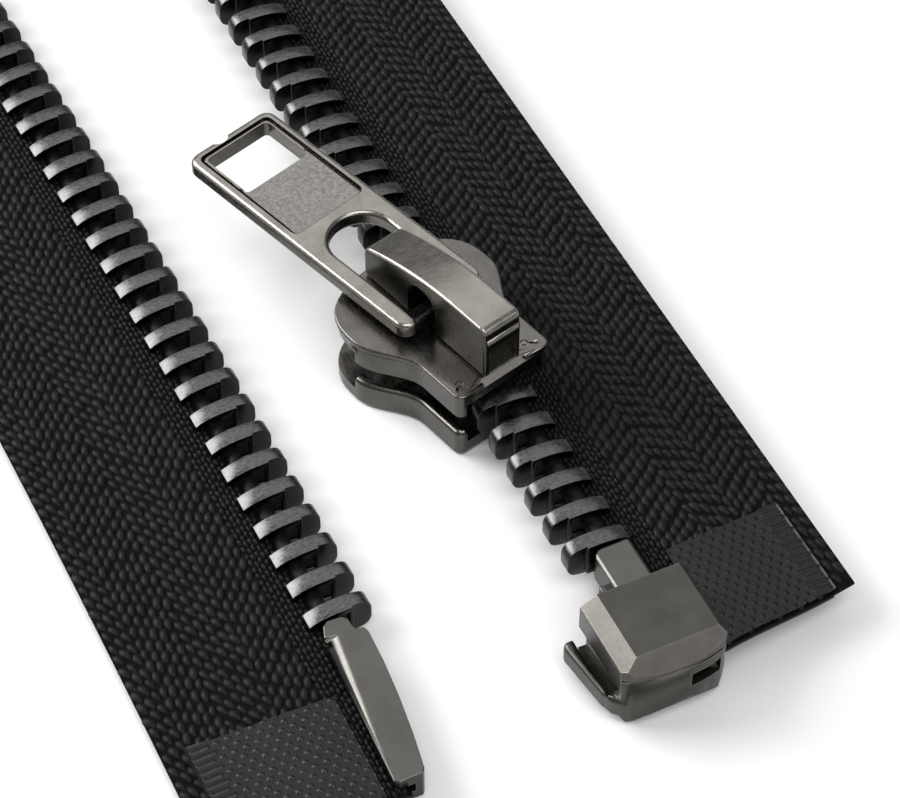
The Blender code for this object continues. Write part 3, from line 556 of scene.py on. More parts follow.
def yarn_group():
    """Fibres along the yarn and slow changes of tone over the cloth."""
    inputs = [("Coordinates", "Vector", None), ("Fineness", "Vector", (1.0, 1.0, 1.0))]
    outputs = [("Fibre", "Float"), ("Tone", "Float")]
    nodes, given, out = new_tree("spun_yarn", "ShaderNodeTree", inputs, outputs)
    drawn = nodes.scaled(given["Coordinates"], given["Fineness"])
    nodes.feed(out["Fibre"], nodes.noise(drawn, 1.0, 2.0, 0.7))
    nodes.feed(out["Tone"], nodes.noise(given["Coordinates"], 900.0, 2.0, 0.6))
    return nodes.tree


def group(nodes, name, inputs):
    made = nodes.tree.nodes.new("ShaderNodeGroup")
    made.node_tree = bpy.data.node_groups[name]
    for key, value in inputs.items():
        nodes.feed(made.inputs[key], value)
    return made.outputs


INPUT_NAMES = {
    "sheen_weight": "Sheen Weight",
    "sheen_roughness": "Sheen Roughness",
    "specular_ior_level": "Specular IOR Level",
}


def start_material(name, metallic, **settings):
    """A material with its shader, and the piece's own coordinates."""
    made = bpy.data.materials.new(name)
    made.use_nodes = True
    nodes = Nodes(made.node_tree)
    shader = made.node_tree.nodes["Principled BSDF"]
    shader.inputs["Metallic"].default_value = metallic
    for key, value in settings.items():
        shader.inputs[INPUT_NAMES[key]].default_value = value
    coords = nodes.add("ShaderNodeTexCoord").outputs
    return made, nodes, shader.inputs, coords


def shade(rgb, factor=1.0):
    return (*(min(1.0, channel * factor) for channel in rgb), 1.0)


def bump(nodes, height, strength, distance):
    inputs = {"Height": height, "Strength": strength, "Distance": distance}
    return nodes.add("ShaderNodeBump", inputs).outputs[0]


def metal(name, rgb, roughness, fineness, wear_and_highlight_band=(0.12, 0.2), wear_and_highlight_tint=1.9, scratch=0.08, blotch=0.25, sides=1.0):
    """Plated metal: brushed grain, faint blotches, edges brightened by rubbed plating and a painted highlight, and
    painted shade darkening upright sides.
    """
    made, nodes, inputs, coords = start_material(name, 1.0)
    place = coords["Object"]
    grain = group(nodes, "brushed_grain", {"Coordinates": place, "Fineness": fineness})
    radius, reach = wear_and_highlight_band
    mask = group(
        nodes, "edge_wear", {"Radius": radius * MM, "Reach": reach, "Coordinates": place}
    )["Mask"]
    tone = nodes.remap(grain["Blotch"], 0.3, 0.7)
    base = nodes.mix(tone, shade(rgb, 1.0 - blotch), shade(rgb, 1.0 + blotch))
    lines = nodes.remap(grain["Grain"], 0.35, 0.7)
    base = nodes.mix(nodes.times(lines, 0.5), base, shade(rgb, 1.0 + 2 * blotch))
    # Painted shade: faces that stand upright are darkened by the sides factor.
    level = nodes.math("ABSOLUTE", nodes.add("ShaderNodeSeparateXYZ", {0: coords["Normal"]}).outputs[2])
    base = nodes.scaled(base, nodes.remap(level, 0.1, 0.6, sides, 1.0))
    # Edges take a brighter tint: partly rubbed plating, partly a painted edge highlight.
    nodes.feed(inputs["Base Color"], nodes.mix(nodes.times(mask, 0.8), base, shade(rgb, wear_and_highlight_tint)))
    rough = nodes.remap(grain["Grain"], 0.3, 0.75, roughness - scratch, roughness + scratch)
    nodes.feed(inputs["Roughness"], nodes.math("SUBTRACT", rough, nodes.times(mask, 0.06)))
    nodes.feed(inputs["Normal"], bump(nodes, grain["Grain"], 0.35, 0.006 * MM))
    return made


def teeth_metal(finish):
    """Dark plating, lighter on faces that point up: bare metal rubbed on the teeth's backs, and painted top light;
    edges take a painted highlight.
    """
    made, nodes, inputs, coords = start_material("teeth_gunmetal", 1.0)
    place = coords["Object"]
    grain = group(nodes, "brushed_grain", {"Coordinates": place, "Fineness": (2400.0, 5200.0, 5200.0)})
    mask = group(nodes, "edge_wear", {"Radius": 0.14 * MM, "Reach": 0.2, "Coordinates": place})["Mask"]
    # Painted top light, partly real burnish: faces that point up blend to the burnish colour, and so do edges, as a
    # painted highlight.
    up = nodes.math("ABSOLUTE", nodes.add("ShaderNodeSeparateXYZ", {0: coords["Normal"]}).outputs[2])
    back = nodes.remap(up, 0.45, 0.85)
    rubbed = nodes.remap(grain["Grain"], 0.38, 0.62, 0.45, 1.0)
    bare_and_lit = nodes.math("MAXIMUM", nodes.times(back, rubbed, 0.75), nodes.times(mask, 0.6))
    dark = nodes.mix(nodes.remap(grain["Blotch"], 0.3, 0.7), shade(finish.teeth, 0.7), shade(finish.teeth, 1.3))
    nodes.feed(inputs["Base Color"], nodes.mix(bare_and_lit, dark, shade(finish.burnish_and_top_light)))
    nodes.feed(inputs["Roughness"], nodes.remap(grain["Grain"], 0.3, 0.7, 0.22, 0.42))
    nodes.feed(inputs["Normal"], bump(nodes, grain["Grain"], 0.4, 0.008 * MM))
    return made


def speckled_metal(finish):
    """The pull's panel, blasted to a fine even speckle."""
    made, nodes, inputs, coords = start_material("pull_panel", 1.0)
    place = coords["Object"]
    speckle = nodes.noise(place, 9000.0, 2.0, 0.8)
    coarse = nodes.noise(place, 3200.0, 2.0, 0.5)
    grains = nodes.total(nodes.times(speckle, 0.65), nodes.times(coarse, 0.35))
    tone = nodes.remap(grains, 0.4, 0.62)
    nodes.feed(inputs["Base Color"], nodes.mix(tone, shade(finish.panel, 0.7), shade(finish.panel, 1.35)))
    nodes.feed(inputs["Roughness"], nodes.remap(grains, 0.35, 0.65, 0.6, 0.46))
    nodes.feed(inputs["Normal"], bump(nodes, grains, 0.6, 0.03 * MM))
    return made


def cloth(name, rgb, fineness, roughness=0.5, gloss=0.2):
    """Black yarn with a little sheen along its fibres."""
    made, nodes, inputs, coords = start_material(
        name, 0.0, sheen_weight=0.015, sheen_roughness=0.4, specular_ior_level=gloss
    )
    yarn = group(nodes, "spun_yarn", {"Coordinates": coords["Object"], "Fineness": fineness})
    tone = nodes.total(nodes.times(yarn["Fibre"], 0.6), nodes.times(yarn["Tone"], 0.4))
    tone = nodes.remap(tone, 0.35, 0.65)
    nodes.feed(inputs["Base Color"], nodes.mix(tone, shade(rgb, 0.6), shade(rgb, 1.7)))
    nodes.feed(inputs["Roughness"], nodes.remap(yarn["Fibre"], 0.3, 0.7, roughness - 0.12, roughness + 0.1))
    nodes.feed(inputs["Normal"], bump(nodes, yarn["Fibre"], 0.7, 0.03 * MM))
    return made


def film_material(rgb):
    made, nodes, inputs, coords = start_material("reinforcing_film", 0.0, specular_ior_level=0.3)
    smear = nodes.noise(coords["Object"], 700.0, 3.0, 0.6)
    fine = nodes.noise(coords["Object"], 9000.0, 2.0, 0.6)
    nodes.feed(inputs["Base Color"], nodes.mix(smear, shade(rgb, 0.7), shade(rgb, 1.6)))
    nodes.feed(inputs["Roughness"], nodes.remap(smear, 0.3, 0.7, 0.3, 0.46))
    nodes.feed(inputs["Normal"], bump(nodes, fine, 0.25, 0.02 * MM))
    return made


def make_finishes():
    finish = bpy.context.scene.zipper_finish
    rubbed_edge_and_highlight_group()
    grain_group()
    yarn_group()
    along, across = (9000.0, 900.0, 9000.0), (900.0, 9000.0, 9000.0)
    return {
        "yarn": cloth("tape_yarn", finish.yarn, (26000.0, 2600.0, 26000.0)),
        "ground": cloth("tape_ground", finish.yarn, (3000.0, 14000.0, 9000.0), 0.7, 0.04),
        "cord": cloth("cord_yarn", finish.yarn, (12000.0, 5000.0, 12000.0)),
        "film": film_material(finish.film),
        "teeth": teeth_metal(finish),
        # Each sides factor paints shade on upright faces; each edge tint paints brighter edges, partly rubbed plating
        # and partly a painted highlight.
        "slider": metal("slider_gunmetal", finish.slider, 0.27, along, wear_and_highlight_tint=3.0, sides=0.6),
        "crown": metal("crown_gunmetal", finish.crown, 0.3, across, scratch=0.1, sides=0.22),
        "pull": metal("pull_gunmetal", finish.crown, 0.27, along, sides=0.5),
        "panel": speckled_metal(finish),
        "pin": metal("pin_nickel", finish.pin, 0.32, along, wear_and_highlight_tint=2.2, blotch=0.12, sides=0.5),
        "box": metal("box_satin", finish.box, 0.38, (2600.0, 5200.0, 5200.0), (0.2, 0.16), 3.0, blotch=0.16, sides=0.8),
        "spring": metal("spring_steel", finish.spring, 0.4, along, wear_and_highlight_tint=2.0),
    }


def finish_of(key):
    """A finish by its short name; they are all made the first time that one is needed."""
    if not FINISHES:
        FINISHES.update(make_finishes())
    return FINISHES[key]


FINISHES = {}


# Shapes -------------------------------------------------------------------------------------


def upright(a, b, height):
    """Outline in plan, pushed along z."""
    return (a, b, height)


def across_y(a, b, height):
    """Outline in the x-z plane, pushed along y."""
    return (a, height, b)


def across_x(a, b, height):
    """Outline in the y-z plane, pushed along x."""
    return (height, a, b)


def new_object(name, shape):
    mesh = bpy.data.meshes.new(name)
    shape.to_mesh(mesh)
    shape.free()
    obj = bpy.data.objects.new(name, mesh)
    bpy.context.scene.collection.objects.link(obj)
    return obj


def prism(name, outline, low, high, place=upright):
    """A closed outline pushed from low to high."""
    shape = bmesh.new()
    face = shape.faces.new([shape.verts.new(place(a, b, low)) for a, b in outline])
    grown = bmesh.ops.extrude_face_region(shape, geom=[face])
    shift = Vector(place(0.0, 0.0, high)) - Vector(place(0.0, 0.0, low))
    moved = [item for item in grown["geom"] if isinstance(item, bmesh.types.BMVert)]
    bmesh.ops.translate(shape, verts=moved, vec=shift)
    bmesh.ops.recalc_face_normals(shape, faces=shape.faces)
    return new_object(name, shape)


def block(name, low, high):
    outline = [(low[0], low[1]), (high[0], low[1]), (high[0], high[1]), (low[0], high[1])]
    return prism(name, outline, low[2], high[2])


def bake(obj):
    """Keeps what the modifiers make as the object's own mesh."""
    graph = bpy.context.evaluated_depsgraph_get()
    mesh = bpy.data.meshes.new_from_object(obj.evaluated_get(graph))
    obj.modifiers.clear()
    obj.data = mesh
    return obj


def combine(obj, others, operation):
    """Joins, cuts or crosses the object with the others, which are used up."""
    for other in others:
        step = obj.modifiers.new(other.name, "BOOLEAN")
        step.operation = operation
        step.solver = "EXACT"
        step.object = other
    bake(obj)
    for other in others:
        bpy.data.objects.remove(other)
    return obj


def join(obj, *others):
    return combine(obj, others, "UNION")


def cut(obj, *others):
    return combine(obj, others, "DIFFERENCE")


def cross(obj, *others):
    return combine(obj, others, "INTERSECT")


def round_edges(obj, width, segments=2, angle=30.0):
    step = obj.modifiers.new("rounding", "BEVEL")
    step.width = width
    step.segments = segments
    step.limit_method = "ANGLE"
    step.angle_limit = math.radians(angle)
    step.miter_outer = "MITER_ARC"
    return bake(obj)


def arc(centre, radius, start, end, steps):
    """Points along an arc, both ends included; angles in degrees."""
    angles = [math.radians(start + (end - start) * i / steps) for i in range(steps + 1)]
    return [(centre[0] + radius * math.cos(a), centre[1] + radius * math.sin(a)) for a in angles]


def rounded_box(half, low, high, radius, steps=4):
    """A rectangle across (-half, half) and along (low, high) with round corners."""
    points = arc((half - radius, high - radius), radius, 0, 90, steps)
    points += arc((-half + radius, high - radius), radius, 90, 180, steps)
    points += arc((-half + radius, low + radius), radius, 180, 270, steps)
    points += arc((half - radius, low + radius), radius, 270, 360, steps)
    return points


def copy_of(name, node):
    """A CAD node's mesh in the chain frame, with its triangles merged."""
    shape = bmesh.new()
    shape.from_mesh(frame["nodes"][node].data)
    shape.transform(CHAIN.inverted())
    bmesh.ops.remove_doubles(shape, verts=shape.verts, dist=0.001)
    flat = math.radians(0.5)
    bmesh.ops.dissolve_limit(shape, angle_limit=flat, verts=shape.verts, edges=shape.edges)
    return new_object(name, shape)


def weld(objects):
    """Puts several objects' meshes into the first one."""
    shape = bmesh.new()
    for obj in objects:
        shape.from_mesh(obj.data)
    shape.to_mesh(objects[0].data)
    shape.free()
    for obj in objects[1:]:
        bpy.data.objects.remove(obj)
    return objects[0]


def finish_piece(obj, body, finish, nodes=(), place=CHAIN, sharp=38.0):
    """Places a piece in the frame, gives it its finish and puts it on its body."""
    obj.data.transform(place)
    obj.data.materials.clear()
    for key in finish.split():
        obj.data.materials.append(finish_of(key))
    obj.data.shade_smooth()
    obj.data.set_sharp_from_angle(angle=math.radians(sharp))
    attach(obj, body)
    if nodes:
        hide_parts(*nodes)
    return obj


def weight_normals(obj):
    """Keeps large flat faces flat beside their rounded edges."""
    obj.data.shade_smooth()
    obj.data.set_sharp_from_angle(angle=math.radians(40.0))
    step = obj.modifiers.new("flat_faces", "WEIGHTED_NORMAL")
    step.keep_sharp = True
    step.weight = 80
    return bake(obj)


# Tapes, cords and films ---------------------------------------------------------------------

SHEET_INNER_U = CORD_U + CORD_RADIUS * 0.8
SHEET_HALF = 0.12
SHEET_STEP = 1.0
FLOAT_RISE = 0.42


def strip_surface(name, side, stations, low_y, high_y, step, lift, thickness):
    """A closed sheet that follows the stringer, with a UV map in metres."""
    rows = max(2, round((high_y(stations[0]) - low_y(stations[0])) / step))
    shape = bmesh.new()
    layer = shape.loops.layers.uv.new("cloth")
    flat = {}
    grid = []
    for u in stations:
        line = []
        for row in range(rows + 1):
            along = low_y(u) + (high_y(u) - low_y(u)) * row / rows
            x, y = side.point(u, along)
            vertex = shape.verts.new((x, y, side.height(u) + lift(u, along)))
            flat[vertex] = (u * MM, along * MM)
            line.append(vertex)
        grid.append(line)
    for first, second in zip(grid, grid[1:]):
        for row in range(rows):
            shape.faces.new((first[row], second[row], second[row + 1], first[row + 1]))
    for face in shape.faces:
        for loop in face.loops:
            loop[layer].uv = flat[loop.vert]
    shape.normal_update()
    if side.sign < 0:
        bmesh.ops.reverse_faces(shape, faces=shape.faces)
    obj = new_object(name, shape)
    shell = obj.modifiers.new("thickness", "SOLIDIFY")
    shell.thickness = thickness
    shell.offset = -1.0
    return bake(obj)


def yarn_float(name, width, extent, height):
    """One float of yarn: a long low dome with a flat foot."""
    shape = bmesh.new()
    sides = 8
    rings = ((1.0, 0.0), (0.92, 0.5), (0.55, 0.9))
    rows = []
    for reach, rise in rings:
        angles = [2 * math.pi * i / sides for i in range(sides)]
        rows.append(
            [
                shape.verts.new((math.cos(a) * width * reach / 2, math.sin(a) * extent * reach / 2, rise * height))
                for a in angles
            ]
        )
    top = shape.verts.new((0.0, 0.0, height))
    for low, high in zip(rows, rows[1:]):
        for i in range(sides):
            shape.faces.new((low[i], low[(i + 1) % sides], high[(i + 1) % sides], high[i]))
    for i in range(sides):
        shape.faces.new((rows[-1][i], rows[-1][(i + 1) % sides], top))
    shape.faces.new(list(reversed(rows[0])))
    for face in shape.faces:
        face.smooth = True
    return new_object(name, shape)


def weave(side, tree, face):
    """The floats on one face of one tape: fine ribs beside the teeth, then broad chevrons."""
    sizes = bpy.context.scene.zipper_weave
    rib_end = max(side.flat_u, RIGHT_FLAT_U - 0.6)
    zones = (
        ("ribs", SHEET_INNER_U + 0.25, rib_end, sizes.rib_width / MM, sizes.rib_repeat / MM, 0.0, 1),
        (
            "chevrons",
            rib_end,
            TAPE_OUTER_U - 0.1,
            sizes.float_width / MM,
            sizes.float_repeat / MM,
            math.radians(15.0),
            sizes.columns,
        ),
    )
    made = []
    for zone, low, high, width, repeat, lean, chevron in zones:
        columns = round((high - low) / width)
        width = (high - low) / columns
        piece = yarn_float(f"{zone}_float", width * 1.16, repeat * 1.16, FLOAT_RISE)
        values = strip_values(side)
        values.update(
            {
                "Object": piece,
                "Material": finish_of("yarn"),
                "Columns": columns,
                "Rows": int((TAPE_TOP_Y - cut_y(low)) / repeat) + 1,
                "Start": low,
                "Width": width,
                "Repeat": repeat,
                "Chevron": chevron,
                "Lean": lean,
                "Cut Start": cut_y(0.0),
                "Cut Slant": CUT_SLANT,
                "Top": TAPE_TOP_Y - repeat * 0.55,
                "Lift": (TAPE_HALF - FLOAT_RISE) * face,
                "Flip": 0.0 if face > 0 else math.pi,
                "Seed": sizes.seed + (0 if side.sign > 0 else 50),
            }
        )
        made.append(run_tree(f"{zone}_{side.name}", tree, values))
        bpy.data.objects.remove(piece)
    return weld(made)


def tape(side, tree):
    count = 16
    stations = [SHEET_INNER_U + (TAPE_OUTER_U - SHEET_INNER_U) * i / count for i in range(count + 1)]
    sheet = strip_surface(
        f"tape_sheet_{side.name}",
        side,
        stations,
        cut_y,
        lambda u: TAPE_TOP_Y,
        SHEET_STEP,
        lambda u, along: SHEET_HALF,
        2 * SHEET_HALF,
    )
    finish_piece(sheet, side.body, "ground", [side.node("tape")])
    floats = []
    for face, label in ((1, "front"), (-1, "back")):
        piece = weave(side, tree, face)
        piece.name = f"tape_weave_{label}_{side.name}"
        floats.append(finish_piece(piece, side.body, "yarn", sharp=60.0))
    return sheet, floats, stations


def declare_tape(side, stations):
    """Reads the tape's heights at its stations; nothing is done with them."""
    heights = [side.height(u) for u in stations]


CORD_STEP = 0.22
CORD_SIDES = 14
CORD_LAY = 1.5


def cord(side):
    """The corded edge: one round cord with the lay of its strands showing."""
    low = side.first_y - TOOTH_WIDTH / 2 + 0.15
    steps = round((TAPE_TOP_Y - low) / CORD_STEP)
    shape = bmesh.new()
    rings = []
    for i in range(steps + 1):
        along = low + (TAPE_TOP_Y - low) * i / steps
        ring = []
        for k in range(CORD_SIDES):
            angle = 2 * math.pi * k / CORD_SIDES
            ridge = math.cos(3 * angle - 2 * math.pi * along / CORD_LAY)
            radius = CORD_RADIUS * (0.94 + 0.06 * ridge)
            x, y = side.point(CORD_U + radius * math.cos(angle), along)
            ring.append(shape.verts.new((x, y, side.chain_z + radius * math.sin(angle))))
        rings.append(ring)
    for first, second in zip(rings, rings[1:]):
        for k in range(CORD_SIDES):
            following = (k + 1) % CORD_SIDES
            shape.faces.new((first[k], first[following], second[following], second[k]))
    shape.faces.new(rings[0])
    shape.faces.new(rings[-1])
    bmesh.ops.recalc_face_normals(shape, faces=shape.faces)
    obj = new_object(f"corded_edge_{side.name}", shape)
    return finish_piece(obj, side.body, "cord", [side.node("cord")], sharp=70.0)


FILM_CELL = 0.085
DOT_SPACING = (0.95, 0.68)
DOT_SIZE = (0.22, 0.18)
EMBOSS = 0.13
RIB_BAND = 1.7


def film_height(inward, along):
    """Dots in staggered rows, turning into short ribs beside the film's outer edge."""
    row = math.floor(along / DOT_SPACING[1])
    shift = 0.5 if row % 2 else 0.0
    near_u = ((inward / DOT_SPACING[0] + shift) % 1.0 - 0.5) * DOT_SPACING[0] / DOT_SIZE[0]
    near_v = ((along / DOT_SPACING[1]) % 1.0 - 0.5) * DOT_SPACING[1] / DOT_SIZE[1]
    if 0.2 < inward < RIB_BAND:
        near_u = 0.0
    dot = math.sqrt(max(0.0, 1.0 - math.hypot(near_u, near_v)))
    edge = max(0.0, 1.0 - inward / 0.15)
    return EMBOSS * max(dot, 0.9 * edge)


def film(side):
    """The embossed film on the front of a tape's end."""
    node = side.node("film_front")
    low, high = cad_box(node)
    thickness = 0.2
    base = TAPE_HALF + 0.12 + thickness - EMBOSS
    if side.sign > 0:
        inner, outer = low.x - ORIGIN.x, high.x - ORIGIN.x
    else:
        nose = side.point(0.0, -8.0)[0]
        inner, outer = nose - (high.x - ORIGIN.x), nose - (low.x - ORIGIN.x)
    top = max(point.y for point in cad_points(node))
    tilt = 0.1
    top_inner = top - tilt * (outer - inner)
    columns = round((outer - inner) / FILM_CELL)
    stations = [inner + (outer - inner) * i / columns for i in range(columns + 1)]
    piece = strip_surface(
        f"embossed_film_{side.name}",
        side,
        stations,
        lambda u: cut_y(u) + 0.15,
        lambda u: top_inner + tilt * (u - inner),
        FILM_CELL,
        lambda u, along: base + film_height(outer - u, along),
        thickness - EMBOSS,
    )
    return finish_piece(piece, side.body, "film", [node], sharp=60.0)


# Teeth and top stops ------------------------------------------------------------------------


def tooth_profile():
    """Upper outline of a tooth from its nose to its jaw, as shares of its length and height."""
    shares = (
        (0.0, 0.3), (0.012, 0.5), (0.045, 0.7), (0.1, 0.84), (0.19, 0.93), (0.3, 0.98), (0.42, 1.0),
        (0.56, 0.99), (0.7, 0.94), (0.82, 0.86), (0.92, 0.74), (1.0, 0.6),
    )
    return [(u * TOOTH_LENGTH, z * TOOTH_HALF_HEIGHT) for u, z in shares]


JAW_U = 4.5
JAW_HALF = 0.45
RIB_LOW, RIB_HIGH = 1.62, 1.92
NOSE_STEP = 0.2
POCKET_DEPTH = 0.36


def tooth(sign):
    """One tooth: arched back, a thinner nose, a rib, a pocket behind it, and a nib.

    The left row's teeth are turned round, so theirs are drawn as a mirror image: every nib points up
    the chain.
    """
    half = tooth_profile() + [(TOOTH_LENGTH, JAW_HALF), (JAW_U, JAW_HALF)]
    outline = half + [(u, -z) for u, z in reversed(half)]
    obj = prism("tooth", outline, -TOOTH_WIDTH / 2, TOOTH_WIDTH / 2, across_y)
    front, high = -TOOTH_WIDTH / 2, TOOTH_HALF_HEIGHT
    lobe = [(-1.0, -2 * high), (RIB_LOW, -2 * high), (RIB_LOW, 2 * high), (-1.0, 2 * high)]
    nose = prism("nose_step", lobe, front - 1.0, front + NOSE_STEP, across_y)
    room = [(RIB_HIGH, -high * 0.66), (JAW_U + 0.25, -high * 0.58), (JAW_U + 0.25, high * 0.58), (RIB_HIGH, high * 0.66)]
    pocket = prism("pocket", room, front - 1.0, front + POCKET_DEPTH, across_y)
    cut(obj, nose, pocket)
    round_edges(obj, bpy.context.scene.zipper_metal.tooth_bevel / MM, 3, 40.0)
    shape = bmesh.new()
    bmesh.ops.create_uvsphere(shape, u_segments=12, v_segments=6, radius=0.5)
    bmesh.ops.scale(shape, vec=(0.9, 0.55, 1.2), verts=shape.verts)
    bmesh.ops.translate(shape, vec=(0.85, TOOTH_WIDTH / 2 - 0.05, 0.0), verts=shape.verts)
    join(obj, new_object("nib", shape))
    if sign < 0:
        obj.data.transform(Matrix.Scale(-1.0, 4, (0.0, 1.0, 0.0)))
        obj.data.flip_normals()
    return obj


def tooth_nodes(side):
    return [name for name in frame["nodes"] if name.startswith(f"tooth_{side.name}_")]


def teeth(side, tree):
    values = strip_values(side)
    source = tooth(side.sign)
    values.update(
        {
            "Object": source,
            "Material": finish_of("teeth"),
            "Count": TEETH_PER_SIDE,
            "Pitch": PITCH,
            "First": side.first_y,
        }
    )
    obj = run_tree(f"teeth_row_{side.name}", tree, values)
    bpy.data.objects.remove(source)
    nodes = tooth_nodes(side) + [side.node("upper_teeth")]
    return finish_piece(obj, side.body, "teeth", nodes, sharp=45.0)


def top_stop(side):
    node = side.node("top_stop")
    obj = round_edges(copy_of(f"clamped_stop_{side.name}", node), 0.14, 2, 25.0)
    return finish_piece(weight_normals(obj), side.body, "teeth", [node])


# Slider -------------------------------------------------------------------------------------

FLARE_START = 4.6
FLARE_END = 10.4
SLIDER_WALL = 0.95
INNER_HALF = 2.2
TAPE_SLOT = 0.95
SLIDER_CORNER = 0.7
DECK_LOW = 3.14
GROOVE_LOW = 2.85
BEYOND = 9.0


def slider_half(t):
    if t <= FLARE_END:
        return SLIDER_NARROW + SLIDER_FLARE * ease((t - FLARE_START) / (FLARE_END - FLARE_START))
    reach = (t - FLARE_END) / (SLIDER_LENGTH - FLARE_END)
    return SLIDER_WIDE * (1.0 - reach**3) ** (1.0 / 2.2)


def slider_outline(inset, corner=SLIDER_CORNER):
    """Plan of the slider, drawn in by the inset all round."""
    flare = FLARE_END - FLARE_START
    stations = [FLARE_START + flare * i / 12 for i in range(13)]
    round_end = SLIDER_LENGTH - FLARE_END
    reaches = (0.15, 0.3, 0.42, 0.54, 0.64, 0.73, 0.8, 0.86, 0.91, 0.95, 0.98, 0.993)
    stations += [FLARE_END + round_end * reach for reach in reaches]
    squeeze = (SLIDER_LENGTH - 2 * inset) / SLIDER_LENGTH
    half = arc((SLIDER_NARROW - corner - inset, corner + inset), corner, -90, 0, 4)
    half += [(slider_half(t) - inset, inset + t * squeeze) for t in stations]
    half.append((1.0, SLIDER_LENGTH - inset))
    return half + [(-s, t) for s, t in reversed(half)]


def slider_channel():
    flare = FLARE_END - FLARE_START
    stations = [-1.0] + [FLARE_START + flare * i / 12 for i in range(13)]
    half = [(slider_half(t) - SLIDER_WALL, t) for t in stations]
    half += [(BEYOND, FLARE_END + 0.2), (BEYOND, SLIDER_LENGTH + 1.0)]
    outline = half + [(-s, t) for s, t in reversed(half)]
    return prism("channel", outline, -INNER_HALF, INNER_HALF)


WEDGE_TIP = 12.9
WEDGE_END = 15.4
WEDGE_HALF = 0.67
FRONT_LUG = (1.55, 5.9, 5.96)
REAR_LUG = (12.6, 14.4, 5.2)
PAWL_T = 10.3
PAWL_LENGTH = 0.9


def slider_body():
    """Two plates on a wedge. The upper plate is a deck over a groove and a flange."""
    bevel = bpy.context.scene.zipper_metal.slider_bevel / MM
    top = SLIDER_HALF_HEIGHT
    upper = round_edges(prism("slider_plates", slider_outline(0.2), TAPE_SLOT, GROOVE_LOW + 0.14), 0.1, 2, 50.0)
    waist = prism("waist", slider_outline(0.5), GROOVE_LOW, DECK_LOW + 0.2)
    deck = round_edges(prism("deck", slider_outline(0.0), DECK_LOW, top), bevel, 3, 50.0)
    lower = round_edges(prism("lower", slider_outline(0.12), -top, -TAPE_SLOT), 0.42, 3, 50.0)
    obj = join(upper, waist, deck, lower)
    wedge = [(0.0, WEDGE_TIP), (WEDGE_HALF, WEDGE_END), (-WEDGE_HALF, WEDGE_END)]
    cut(obj, slider_channel())
    inside = INNER_HALF + 0.7
    join(obj, prism("wedge", wedge, -inside, inside))
    half = CROWN_HALF - 0.65
    lugs = [
        round_edges(block("lug", (-half, low, top - 0.5), (half, high, rise)), 0.15, 2)
        for low, high, rise in (FRONT_LUG, REAR_LUG)
    ]
    join(obj, *lugs)
    hole_half = SPRING_HALF + 0.3
    hole = block("hole", (-hole_half, PAWL_T - 0.3, 1.0), (hole_half, PAWL_T + PAWL_LENGTH + 0.3, top + 1.0))
    ledge = block("ledge", (-CROWN_HALF - 0.35, -1.0, top - 0.32), (CROWN_HALF + 0.35, 0.42, top + 1.0))
    rings = []
    for sign in (-1, 1):
        middle = (sign * 3.45 - 0.3, 1.35)
        outer, inner = (arc(middle, radius, 0, 345, 23) for radius in (0.36, 0.2))
        rings.append(cut(prism("ring", outer, top - 0.15, top + 1.0), prism("core", inner, top - 1.0, top + 2.0)))
    cut(obj, hole, ledge, *rings)
    return finish_piece(
        weight_normals(obj), "slider", "slider", ["slider_body"], SLIDER_PLACE
    )


CROWN_LEVEL = 4.0
CROWN_REAR_DROP = 2.2
CROWN_WALL = 0.9
CROWN_SIDE = 0.45
CROWN_GAP = 1.73


def crown_back(t):
    level_t = CROWN_FRONT + CROWN_LEVEL
    reach = max(0.0, (t - level_t) / (CROWN_REAR - level_t))
    return CROWN_TOP - CROWN_REAR_DROP * reach**1.8


def slider_crown():
    """The arched hollow cover, with a gap in each side wall for the pull's crossbar."""
    front, rear, foot = CROWN_FRONT, CROWN_REAR, CROWN_FOOT
    round_front, round_rear = 0.75, 1.0
    steps = 14
    outer = [(front, foot), (front, CROWN_TOP - 2.0)]
    outer += arc((front + round_front + 0.12, CROWN_TOP - round_front), round_front, 180, 90, 6)
    stations = [front + (rear - front) * (0.12 + 0.76 * i / steps) for i in range(steps + 1)]
    outer += [(t, crown_back(t)) for t in stations]
    outer += arc((rear - round_rear, crown_back(rear) - round_rear + 0.25), round_rear, 70, 0, 5)
    outer.append((rear, foot))
    obj = prism("arched_crown", outer, -CROWN_HALF, CROWN_HALF, across_x)
    round_edges(obj, 0.3, 3, 50.0)
    rear_inner, front_inner, low = rear - CROWN_WALL, front + CROWN_WALL, foot - 1.0
    room = [(rear_inner, low), (rear_inner, crown_back(rear_inner) - CROWN_WALL - 0.2)]
    room += [(t, crown_back(t) - CROWN_WALL) for t in reversed(stations[1:-2])]
    room += [(front_inner, CROWN_TOP - CROWN_WALL), (front_inner, low)]
    inside = CROWN_HALF - CROWN_SIDE
    gap = [(PIVOT_T - CROWN_GAP, low), (PIVOT_T + CROWN_GAP, low)]
    gap += arc((PIVOT_T, CROWN_TOP - CROWN_WALL - CROWN_GAP - 0.35), CROWN_GAP, 0, 180, 8)
    window = block("inset", (-inside, front - 1.0, low), (inside, front + 0.3, CROWN_TOP - 2.7))
    line = block("line", (-2.5, front - 1.0, CROWN_TOP - 1.22), (2.5, front + 0.1, CROWN_TOP - 1.08))
    cut(
        obj,
        prism("room", room, -inside, inside, across_x),
        prism("gap", gap, -2.5, 2.5, across_x),
        window,
        line,
    )
    return finish_piece(
        weight_normals(obj), "slider", "crown", ["slider_crown"], SLIDER_PLACE
    )


